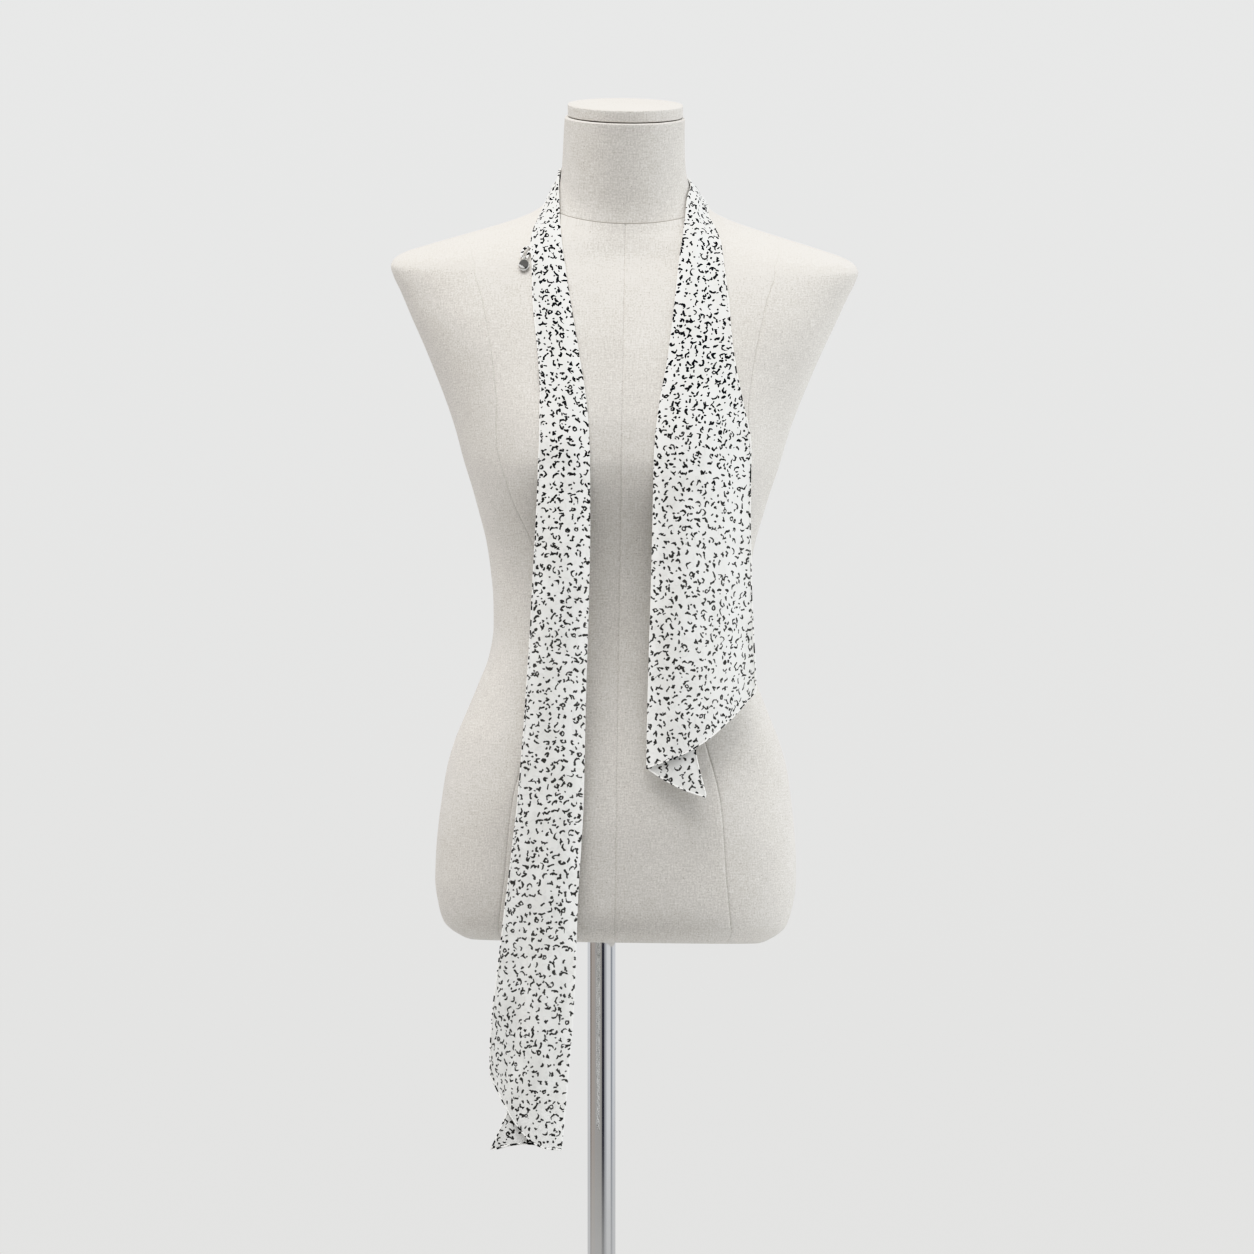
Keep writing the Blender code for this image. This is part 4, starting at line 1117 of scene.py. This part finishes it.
def rails():
    """The fold, the front free edge and the back free edge, end to end, with dips."""
    rows = []

    def hanging(table):
        found, lowest = [], [0.0, 0.0, 0.0]
        for fold_x, fold_h, free_x, free_h, dip, back_x, back_h, back_dip in table:
            line = []
            places = ((fold_x, fold_h), (free_x, free_h), (back_x, back_h))
            for n, (x, h) in enumerate(places):
                lowest[n] = min(lowest[n], form.front(x, h))
                line += [x, lowest[n], h]
            found.append(line + [dip, back_dip])
        return found

    rows += list(reversed(hanging(LONG_END)))
    for row in ROUND_NECK:
        fold, free, share = np.array(row[0:3]), np.array(row[3:6]), row[6]
        rows.append(list(fold) + list(free) + list(fold + (free - fold) * share) + [0.0, 0.0])
    return np.array(rows + hanging(SHORT_END))


def stations(rows):
    """Distance along the cravat at each row, from the foot of the long end."""
    return distances((rows[:, 0:3] + rows[:, 3:6]) / 2)


def laid(fold, edge, dips, columns, side):
    """A layer between two rails, lifted clear of the form; a row for each station."""
    grid = np.zeros((len(fold), columns, 3))
    for r in range(len(fold)):
        for c in range(columns):
            u = c / (columns - 1)
            point = fold[r] * (1 - u) + edge[r] * u
            point[2] -= dips[r] * (4 * u * (1 - u)) ** 1.2
            if side[r]:
                point[1] = min(point[1], form.front(point[0], point[2]))
                grid[r, c] = point
            else:
                grid[r, c] = form.clear(point, 0.0)
    return grid


def plumb(grid, side):
    """Below the fullest part of the chest the cloth hangs straight down."""
    for r in range(len(grid) - 2, -1, -1):
        if side[r] < 0:
            grid[r, :, 1] = np.minimum(grid[r, :, 1], grid[r + 1, :, 1])
    for r in range(1, len(grid)):
        if side[r] > 0:
            grid[r, :, 1] = np.minimum(grid[r, :, 1], grid[r - 1, :, 1])
    return grid


def grid_normals(grid):
    normal = np.cross(np.gradient(grid, axis=0), np.gradient(grid, axis=1))
    return normal / np.maximum(np.linalg.norm(normal, axis=2, keepdims=True), 1e-9)


def creased(along, u):
    """Height of all the soft ridges and troughs at one place of the front layer."""
    total = 0.0
    for start, end, from_u, to_u, half, height in CREASES:
        t = (along - start) / (end - start)
        if 0.0 < t < 1.0:
            off = (u - from_u - (to_u - from_u) * t) / half
            total += height * math.sin(math.pi * t) ** 0.8 * math.exp(-off * off)
    return total


def folded_strip():
    """The middle surface of the strip: back layer, fold, then front layer."""
    control = rails()
    along = stations(control)
    table = np.column_stack([along, control])
    places, firsts = [along[0]], [0]
    for _, start, end in STRETCHES:
        parts = math.ceil((along[end] - along[start]) / STEP_ALONG)
        places += steps_to(along[start], along[end], parts)
        firsts.append(len(places) - 1)
    rows = np.array([eased(table, s) for s in places])
    low_end, high_end = along[len(LONG_END) - 1], along[len(control) - len(SHORT_END)]
    side = [-1 if s <= low_end else 1 if s >= high_end else 0 for s in places]
    fold, free, back = rows[:, 0:3], rows[:, 3:6], rows[:, 6:9]
    reach = np.linalg.norm(back - fold, axis=1) / np.linalg.norm(free - fold, axis=1)
    front = plumb(laid(fold, free, rows[:, 9], FRONT_COLUMNS, side), side)
    behind = plumb(laid(fold, back, rows[:, 10], BACK_COLUMNS, side), side)
    out_front, out_back = grid_normals(front), grid_normals(behind)
    across = unit(front[:, 1] - front[:, 0])
    bend = LAYER_PITCH / 2
    columns = []
    for c in reversed(range(BACK_COLUMNS)):
        shift = bend * across if c == 0 else 0.0
        spots = behind[:, c] + out_back[:, c] * BACK_LAYER_OFF_FORM + shift
        columns.append((spots, np.full(len(rows), BACK_LAYER_OFF_FORM)))
    start = front[:, 0] + out_front[:, 0] * (BACK_LAYER_OFF_FORM + bend)
    for n in range(1, FOLD_COLUMNS + 1):
        a = math.pi * n / (FOLD_COLUMNS + 1)
        spots = start + across * bend * (1 - math.sin(a)) - out_front[:, 0] * bend * math.cos(a)
        columns.append((spots, np.full(len(rows), BACK_LAYER_OFF_FORM
                                       + bend * (1 - math.cos(a)))))
    for c in range(FRONT_COLUMNS):
        u = c / (FRONT_COLUMNS - 1)
        past = np.clip((u - np.minimum(reach, FALL_FROM) - FALL_AFTER) / FALL_OVER, 0.0, 1.0)
        drop = BACK_LAYER_OFF_FORM + LAYER_PITCH - FREE_EDGE_OFF_FORM
        lift = BACK_LAYER_OFF_FORM + LAYER_PITCH - drop * past * past * (3 - 2 * past)
        puff = PUFF * math.sin(math.pi * min(1.0, u * 1.15)) ** 2
        soft = np.array([creased(s, u) for s in places]) * min(1.0, u * 8.0)
        shift = bend * across if c == 0 else 0.0
        spots = front[:, c] + out_front[:, c] * (lift + puff + soft)[:, None] + shift
        columns.append((spots, np.maximum(lift + np.minimum(soft, 0.0), 1.1)))
    cleared = [[form.clear(spot, distance - 0.05) for spot, distance in zip(spots, offs)]
               for spots, offs in columns]
    return np.array(cleared).transpose(1, 0, 2), np.array(places), firsts, side


strip, strip_places, strip_firsts, strip_side = folded_strip()
strip_out = grid_normals(strip)
print("strip:", strip.shape[0], "rows of", strip.shape[1], "corners,",
      round(strip_places[-1] / 1000, 3), "m along its middle")

# %% [markdown]
# Where each corner lies on the flat cloth. Across, it is the distance from the fold.
# Along, it is the distance from the foot, except on the slanting ends, where each column
# of corners is measured for itself so that the print isn't sheared.

# %% The strip laid flat
FOLD_COLUMN = BACK_COLUMNS + FOLD_COLUMNS // 2


def flat_strip():
    u = distances(strip, 1)
    u -= u[:, FOLD_COLUMN:FOLD_COLUMN + 1]
    v = np.repeat(strip_places[:, None], strip.shape[1], axis=1)
    rise = np.linalg.norm(np.diff(strip, axis=0), axis=2)
    hang = [r for r, s in enumerate(strip_side) if s < 0][-1]
    for r in range(hang - 1, -1, -1):
        v[r] = v[r + 1] - rise[r]
    hang = [r for r, s in enumerate(strip_side) if s > 0][0]
    for r in range(hang + 1, len(strip)):
        v[r] = v[r - 1] + rise[r - 1]
    return u, v


flat_u, flat_v = flat_strip()
print("widest layer laid flat:", round(float(flat_u.max()), 1), "mm")

# %% [markdown]
# Printed georgette. The cloth is off-white crepe with a small fleck print: dots, dashes,
# hooks and forked strokes thrown down about every eight millimetres. Each cell of a
# Voronoi texture holds one mark. The cell's random colour turns the mark, bends its
# stroke and decides whether a second stroke grows from its end; a few marks are rings. A
# closer layer of dots fills between them. Near the neck the ink is darkest and the dots
# are most. A faint third layer is the print of the cloth underneath, showing through.

# %% Print and cloth
MARK_PITCH, DOT_PITCH = 7.9 * MM, 5.9 * MM
# Sizes of the marks as shares of their pitch, and turns in radians.
STROKE_HALF, STROKE_CURL, STROKE_RADIUS = (0.08, 0.34), 2.3, (0.094, 0.122)
ARM_HALF, ARM_TURN, ARM_THINNER = (0.05, 0.19), 2.5, 0.95
DOT_HALF, DOT_RADIUS = 0.16, 0.140
RING_RADIUS, RING_HALF_WIDTH = 0.19, 0.085
# A mark whose random number is over this has no second stroke, or is a ring.
NO_ARM, IS_RING = 0.78, 0.94
# How far the other layers of marks are moved along the cloth, so that none lines up.
DOTS_ASIDE, UNDER_ASIDE = (0.0417, 0.0233, 0.0), (0.3131, 0.1717, 0.0)


def random_cell(w, place, pitch):
    """Vector from the middle of a cell, and six random numbers of the cell."""
    place = w.vector("MULTIPLY", place, (1 / pitch, 1 / pitch, 0.0))
    cell = w.node("TexVoronoi", {"Vector": place, "Scale": 1.0, "Randomness": 0.72},
                  voronoi_dimensions="2D")
    again = w.node("TexWhiteNoise", {"Vector": cell.outputs["Position"]},
                   noise_dimensions="2D")
    first, second = (w.node("SeparateColor", {0: made.outputs["Color"]}).outputs[:3]
                     for made in (cell, again))
    return w.vector("SUBTRACT", place, cell.outputs["Position"]), first, second


def turned(w, vector, angle):
    return w.node("VectorRotate", {"Vector": vector, "Angle": angle},
                  rotation_type="Z_AXIS").outputs[0]


def drawn_between(w, number, low, high):
    """A random number of a cell, spread evenly between two values."""
    return w.span(number, 0.0, 1.0, low, high, smooth=False)


def stroke(w, x, y, half, radius):
    """Signed distance to a stroke with round ends, from minus half to half along x."""
    past = w.math("MAXIMUM", w.minus(w.math("ABSOLUTE", x), half), 0.0)
    squares = w.plus(w.times(past, past), w.times(y, y))
    return w.minus(w.math("SQRT", squares), radius)


def marks(w, place, fuller):
    """Share of ink for the larger marks: a bent stroke, often with a second one."""
    spot, (turn, size, bend), (branch, lean, thick) = random_cell(w, place, MARK_PITCH)
    spot = turned(w, spot, w.times(turn, 2 * math.pi))
    x, y, _ = w.split(spot)
    half = drawn_between(w, size, *STROKE_HALF)
    curl = drawn_between(w, bend, -STROKE_CURL, STROKE_CURL)
    bent = w.minus(y, w.times(curl, w.times(x, x)))
    radius = w.plus(drawn_between(w, thick, *STROKE_RADIUS), fuller)
    one = stroke(w, x, bent, half, radius)
    end = w.node("CombineXYZ", {0: half, 1: w.times(curl, w.times(half, half))}).outputs[0]
    other = turned(w, w.vector("SUBTRACT", spot, end),
                   drawn_between(w, lean, -ARM_TURN, ARM_TURN))
    x2, y2, _ = w.split(other)
    arm = drawn_between(w, branch, *ARM_HALF)
    two = stroke(w, w.plus(x2, arm), y2, arm, w.times(radius, ARM_THINNER))
    two = w.plus(two, w.math("GREATER_THAN", lean, NO_ARM))
    loop = w.minus(w.vector("LENGTH", spot), RING_RADIUS)
    loop = w.minus(w.math("ABSOLUTE", loop), RING_HALF_WIDTH)
    loop = w.plus(loop, w.math("LESS_THAN", turn, IS_RING))
    one = w.plus(one, w.math("GREATER_THAN", turn, IS_RING))
    mark = w.math("MINIMUM", w.math("MINIMUM", one, two), loop)
    return w.span(mark, 0.016, -0.016)


def dots(w, place, share):
    """Share of ink for the small marks between."""
    spot, (turn, size, _), (chance, _, _) = random_cell(w, place, DOT_PITCH)
    x, y, _ = w.split(turned(w, spot, w.times(turn, 2 * math.pi)))
    half = w.span(size, 0.2, 1.0, 0.0, DOT_HALF, smooth=False)
    ink = w.span(stroke(w, x, y, half, DOT_RADIUS), 0.022, -0.022)
    return w.times(ink, w.math("LESS_THAN", chance, share))


def georgette():
    made, w, shader = material("printed_georgette", 0.80, sheen=0.02, specular=0.2)
    place = w.node("UVMap", uv_map="cloth_map").outputs[0]
    coarse = w.vector("SUBTRACT", w.noise(place, 260.0, 1.0, "Color"), (0.5, 0.5, 0.5))
    fine = w.vector("SUBTRACT", w.noise(place, 1300.0, 1.0, "Color"), (0.5, 0.5, 0.5))
    brushed = w.vector("ADD", place, w.vector("MULTIPLY", coarse, (0.0026, 0.0026, 0.0)))
    brushed = w.vector("ADD", brushed, w.vector("MULTIPLY", fine, (0.0007, 0.0007, 0.0)))
    depth = w.node("Attribute", attribute_name="ink").outputs["Fac"]
    share = w.span(depth, 0.4, 1.0, 0.50, 0.92)
    fuller = w.span(depth, 0.6, 1.0, 0.0, 0.016)
    ink = w.math("MAXIMUM", marks(w, brushed, fuller),
                 dots(w, w.vector("ADD", brushed, DOTS_ASIDE), share))
    under = marks(w, w.vector("ADD", brushed, UNDER_ASIDE), 0.0)
    cloud = w.noise(place, 42.0, 3.0)
    cloth = w.blend(w.span(cloud, 0.3, 0.7), (0.800, 0.800, 0.780, 1), (0.880, 0.882, 0.868, 1))
    cloth = w.blend(w.times(under, 0.085), cloth, (0.30, 0.30, 0.29, 1))
    # Painted shade: the cloth is a little darker away from the fold, which leaves a lighter band
    # along it.
    from_fold = w.math("ABSOLUTE", w.split(place)[0])
    cloth = w.blend(w.span(from_fold, 0.004, 0.011, 0.0, 0.075), cloth, (0.0, 0.0, 0.0, 1))
    # Painted shade: near the neck, where the light is strongest, the cloth is painted darker.
    cloth = w.blend(w.span(depth, 0.6, 1.0, 0.0, 0.10), cloth, (0.0, 0.0, 0.0, 1))
    depth = w.plus(depth, w.times(w.minus(w.noise(place, 110.0, 2.0), 0.5), 0.5))
    black = w.blend(w.span(depth, 0.0, 1.0, smooth=False), (0.080, 0.079, 0.076, 1),
                    (0.012, 0.012, 0.014, 1))
    crepe = w.noise(w.vector("MULTIPLY", place, (1500.0, 2100.0, 0.0)), 1.0, 2.0)
    height = w.plus(w.times(crepe, 0.6), w.times(w.noise(place, 620.0, 2.0), 0.4))
    w.surface(shader, w.blend(ink, cloth, black), bump=(0.35, 0.0002, height))
    return made


georgette_print = georgette()

# %% The three stretches of the cravat
# How dark the ink is along the strip, and how much painted shade darkens the cloth near
# the neck. Columns: distance along, share.
INK_AND_SHADE = ((0.0, 0.45), (120.0, 0.20), (420.0, 0.25), (560.0, 0.7), (700.0, 1.0),
       (1250.0, 1.0), (1340.0, 0.7), (1420.0, 0.30), (1560.0, 0.30), (1590.0, 0.5))


def make_stretch(name, first, last):
    """A thin closed wall about one stretch of the strip, with its cloth map and ink."""
    middle, out = strip[first:last + 1], strip_out[first:last + 1]
    rows, columns = middle.shape[:2]
    points = np.concatenate([(middle + out * SHEET_THICKNESS / 2).reshape(-1, 3),
                             (middle - out * SHEET_THICKNESS / 2).reshape(-1, 3)])
    half = rows * columns
    u = np.tile(flat_u[first:last + 1].ravel(), 2)
    v = np.tile(flat_v[first:last + 1].ravel(), 2)

    def at(side, r, c):
        return side * half + r * columns + c

    faces = []
    for r in range(rows - 1):
        for c in range(columns - 1):
            faces.append((at(0, r, c), at(0, r, c + 1), at(0, r + 1, c + 1), at(0, r + 1, c)))
            faces.append((at(1, r, c), at(1, r + 1, c), at(1, r + 1, c + 1), at(1, r, c + 1)))
        for c in (0, columns - 1):
            faces.append((at(0, r, c), at(0, r + 1, c), at(1, r + 1, c), at(1, r, c)))
    for c in range(columns - 1):
        for r in (0, rows - 1):
            faces.append((at(0, r, c), at(1, r, c), at(1, r, c + 1), at(0, r, c + 1)))
    flat = [[(u[i], v[i]) for i in face] for face in faces]
    item = piece("cravat_" + name + "_sheet", points, faces, georgette_print, flat, sharp=60.0)
    shade = np.interp(np.tile(np.repeat(strip_places[first:last + 1], columns), 2),
                      [row[0] for row in INK_AND_SHADE], [row[1] for row in INK_AND_SHADE])
    ink = item.data.attributes.new("ink", "FLOAT", "POINT")
    ink.data.foreach_set("value", shade.astype(np.float32))
    return outward(item, merge=0.0)


sheets = {}
for (name, *_), first, last in zip(STRETCHES, strip_firsts, strip_firsts[1:]):
    sheets[name] = make_stretch(name, first, last)
    settle(sheets[name], "cravat_" + name)

# %% [markdown]
# The edges of such a cravat are rolled by hand or machine into a fine rope and sewn
# down. The print runs over the rope, so it shows as black dashes on white. A rope that
# follows an edge is again a tree that runs along a path, and so are its stitches. The
# foot of the long end's back layer has a fuller roll, with longer dashes.

# %% Rolled hems and their stitches
ROPE_RADIUS = 0.70


def rolled_cloth(name, stretch, inked):
    """Cloth of a rolled edge: the print crosses it as black dashes on white."""
    made, w, shader = material(name, 0.80, sheen=0.02, specular=0.2)
    spot = w.node("TexCoord").outputs["Object"]
    dash = w.noise(w.vector("MULTIPLY", spot, stretch), 1.0, 1.0)
    pale = w.blend(w.noise(spot, 60.0), (0.86, 0.855, 0.83, 1), (0.92, 0.92, 0.905, 1))
    ink = w.span(dash, inked, inked + 0.03)
    w.surface(shader, w.blend(ink, pale, (0.022, 0.022, 0.024, 1)),
              bump=(0.4, 0.0002, w.noise(spot, 1900.0, 2.0)))
    return made


rope_cloth = rolled_cloth("rolled_edge_cloth", (250.0, 250.0, 250.0), 0.530)
foot_cloth = rolled_cloth("rolled_foot_cloth", (150.0, 420.0, 420.0), 0.475)

hem_thread, w, shader = material("hem_thread", 0.7)
spot = w.node("TexCoord").outputs["Object"]
strand = w.noise(w.vector("MULTIPLY", spot, (3000.0, 3000.0, 3000.0)), 1.0)
w.surface(shader, w.blend(strand, (0.72, 0.715, 0.69, 1), (0.88, 0.88, 0.86, 1)))


def edge_paths(first, last, inset=0.0, lift=0.0):
    """Paths along the free edges of one stretch, moved in from them and out from it."""
    grid = strip + strip_out * lift
    if inset:
        for edge, inner in ((0, 1), (-1, -2)):
            grid[:, edge] += unit(strip[:, inner] - strip[:, edge]) * inset
        for edge, inner in ((0, 1), (-1, -2)):
            grid[edge] += unit(strip[inner] - strip[edge]) * inset
    back, front = grid[first:last + 1, 0], grid[first:last + 1, -1]
    if first == 0:
        return [np.concatenate([back[::-1], grid[0, 1:-1], front])]
    if last == len(grid) - 1:
        return [np.concatenate([back, grid[-1, 1:-1], front[::-1]])]
    return [back, front]


hems = {}
for (name, *_), *ends in zip(STRETCHES, strip_firsts, strip_firsts[1:]):
    slot = "cravat_" + name + "_cloth"
    rolled = grown("hem_" + name, edge_paths(*ends), ROLLED_EDGE, rope_cloth, slot,
                   Radius=ROPE_RADIUS * MM, Step=0.0030, Sides=8)
    sewn = grown("hem_stitches_" + name, edge_paths(*ends, inset=1.5, lift=0.26), STITCHES,
                 hem_thread, slot, Pitch=0.0026, Length=0.0017, Thickness=0.00022)
    hems[name] = [rolled, sewn]
hems["long_end"].append(grown(
    "hem_long_end_foot", [strip[0, 1:FOLD_COLUMN]], ROLLED_EDGE, foot_cloth,
    "cravat_long_end_cloth", Radius=1.0 * MM, Step=0.0030, Sides=10))

# %% [markdown]
# The charm is a small polished pebble that hangs from a sewn loop at the cravat's left
# edge. Its ring turns on the loop, so it rides on its own body. The pebble is an oval of
# rings, fuller in the middle. Its face is painted dark, a painted reflection, and its rim
# and a crescent at the lower left keep the bright metal, a painted highlight. It is joined
# to a round bright bail. The loop is a narrow flat ribbon that goes through the bail.

# %% Charm
CHARM_RADIUS, CHARM_HALF_THICKNESS = 6.2, 2.0
PEBBLE_ACROSS, PEBBLE_DOWN, PEBBLE_DROP = 5.0, 5.9, 7.3  # half sizes, and its middle
PEBBLE_CORNERS, BAIL_ROUND, BAIL_CORNERS = 56, 36, 12
# The pebble's face is painted dark, a painted reflection; the rim and the crescent stay bright,
# a painted highlight.
BRIGHT_RIM = 0.86  # a ring wider than this share of the pebble is bright
CRESCENT_DOWN, CRESCENT_LEFT, CRESCENT_FROM = 0.87, 0.50, 0.42  # and so is a crescent
BAIL_BORE, BAIL_RADIUS, BAIL_WIDTH = 1.05, 1.85, 1.8
SWING_POINT = (-68.6, 615.5)  # across and up, where the bail turns on its loop
SWING_OFF_FORM = 2.9

polished, w, shader = material("polished_charm_metal", 0.10, metal=1.0)
spot = w.node("TexCoord").outputs["Object"]
tarnish = w.noise(spot, 420.0, 3.0)
# Painted reflection and highlight: a dark face, and bright metal where the bright attribute is
# set.
painted_dark_reflection = w.blend(tarnish, (0.135, 0.133, 0.130, 1), (0.185, 0.182, 0.178, 1))
bright = w.node("Attribute", attribute_name="bright").outputs["Fac"]
w.surface(shader, w.blend(bright, painted_dark_reflection, (0.84, 0.84, 0.83, 1)),
          w.span(w.noise(spot, 1500.0, 2.0), 0.3, 0.7, 0.08, 0.16))

def charm_place():
    """The swing point, with the ways down the chest, away from it and across it."""
    x, height = SWING_POINT
    low = form.front(x, height - 2.5 * CHARM_RADIUS)
    up = np.array((0.0, form.front(x, height) - low, 2.5 * CHARM_RADIUS))
    level = height - CHARM_RADIUS
    right = np.array((2 * CHARM_RADIUS, form.front(x + CHARM_RADIUS, level)
                      - form.front(x - CHARM_RADIUS, level), 0.0))
    out = np.cross(right, up)
    out /= np.linalg.norm(out)
    side = np.cross((0.0, 0.0, 1.0), out)
    side /= -np.linalg.norm(side)
    down = np.cross(side, out)
    down *= -np.sign(down[2])
    point = np.array((x, form.front(x, height), height)) + out * SWING_OFF_FORM
    return point, down, out, side * np.sign(side[0])


def make_charm():
    point, down, out, side = charm_place()
    middle = point + down * PEBBLE_DROP
    points, bright = [], []
    levels = [math.radians(a) for a in range(-84, 85, 7)]
    for a in levels:
        share = math.cos(a) ** 0.8
        off = CHARM_HALF_THICKNESS * math.sin(a)
        for s in range(PEBBLE_CORNERS):
            b = 2 * math.pi * s / PEBBLE_CORNERS
            points.append(middle + out * off + share * (PEBBLE_ACROSS * math.cos(b) * side
                                                        + PEBBLE_DOWN * math.sin(b) * down))
            # Painted highlight: the rim and a crescent at the lower left stay bright.
            crescent = (CRESCENT_DOWN * math.sin(b) - CRESCENT_LEFT * math.cos(b)) * share
            bright.append(float(share > BRIGHT_RIM or crescent > CRESCENT_FROM))
    faces = ring_faces(len(levels), PEBBLE_CORNERS) + end_faces(len(levels), PEBBLE_CORNERS)
    faces += ring_faces(BAIL_ROUND, BAIL_CORNERS, first=len(points), joined=True)
    wire = (BAIL_RADIUS - BAIL_BORE) / 2
    for s in range(BAIL_ROUND):
        b = 2 * math.pi * s / BAIL_ROUND
        for t in range(BAIL_CORNERS):
            a = 2 * math.pi * t / BAIL_CORNERS
            radius = BAIL_BORE + wire + wire * math.cos(a)
            points.append(point + side * (BAIL_WIDTH / 2) * math.sin(a)
                          + radius * (math.cos(b) * out + math.sin(b) * down))
    item = piece("charm_pebble", points, faces, polished, sharp=50.0)
    shine = item.data.attributes.new("bright", "FLOAT", "POINT")
    bright += [1.0] * (len(points) - len(bright))
    shine.data.foreach_set("value", np.array(bright, np.float32))
    return outward(item)


settle(make_charm(), "charm", CHARM)

# %% Loop of the charm
EDGE_GAP = 0.6
CAUGHT_LOW, CAUGHT_HIGH = 7.0, 12.5  # over the swing point, where the hem holds its ends
RIBBON_IN_BAIL, RIBBON_HALF_WIDTH, RIBBON_HALF_THICKNESS = 0.72, 1.45, 0.30
RIBBON_CORNERS, RIBBON_RINGS = 12, 91


def loop_path():
    point, down, out, side = charm_place()
    edge = strip[strip_firsts[0]:strip_firsts[1] + 1, -1]

    def at(across, up, lift=0.0):
        return point + side * across - down * up + out * lift

    def beside(height, off):
        spot = np.array([np.interp(height, edge[:, 2], edge[:, k]) for k in range(3)])
        return spot - np.array((off, 0.0, 0.0))

    high, low = SWING_POINT[1] + CAUGHT_HIGH, SWING_POINT[1] + CAUGHT_LOW
    return [beside(high, 0.0), beside(high - 0.1, 1.6 + EDGE_GAP),
            at(2.2, 11.6, 1.0), at(0.2, 10.4, 0.4), at(-1.6, 8.6), at(-2.6, 6.0),
            at(-2.9, 3.4), at(-2.7, 1.6), at(-2.0, 0.5), at(-1.0, 0.0), at(0.0, 0.0),
            at(1.0, 0.0), at(2.0, 0.5), at(2.7, 1.6), at(2.9, 3.2), at(3.4, 5.0, 0.5),
            beside(low, 1.6 + EDGE_GAP), beside(low + 0.5, 0.0)]


def make_loop():
    """A narrow flat ribbon along the loop's path, its flat side towards the front."""
    path = np.array(loop_path())
    fine = np.linspace(0, len(path) - 1, RIBBON_RINGS)
    knots = np.arange(len(path))
    path = np.stack([np.interp(fine, knots, path[:, k]) for k in range(3)], axis=1)
    for _ in range(6):
        path[1:-1] = (path[:-2] + 2 * path[1:-1] + path[2:]) / 4
    ahead = unit(np.gradient(path, axis=0))
    point, _, out, _ = charm_place()
    turns = np.linspace(0, 2 * math.pi, RIBBON_CORNERS, endpoint=False)
    points = []
    for spot, way in zip(path, ahead):
        across = np.cross(way, out)
        across /= np.linalg.norm(across)
        through = np.cross(across, way)
        half = float(np.interp(np.linalg.norm(spot - point), (2.2, 6.0),
                               (RIBBON_IN_BAIL, RIBBON_HALF_WIDTH)))
        points += [spot + half * math.cos(a) * across
                   + RIBBON_HALF_THICKNESS * math.sin(a) * through for a in turns]
    faces = ring_faces(len(path), RIBBON_CORNERS) + end_faces(len(path), RIBBON_CORNERS)
    return outward(piece("charm_ribbon", points, faces, rope_cloth, sharp=50.0))


settle(make_loop(), "charm_loop")
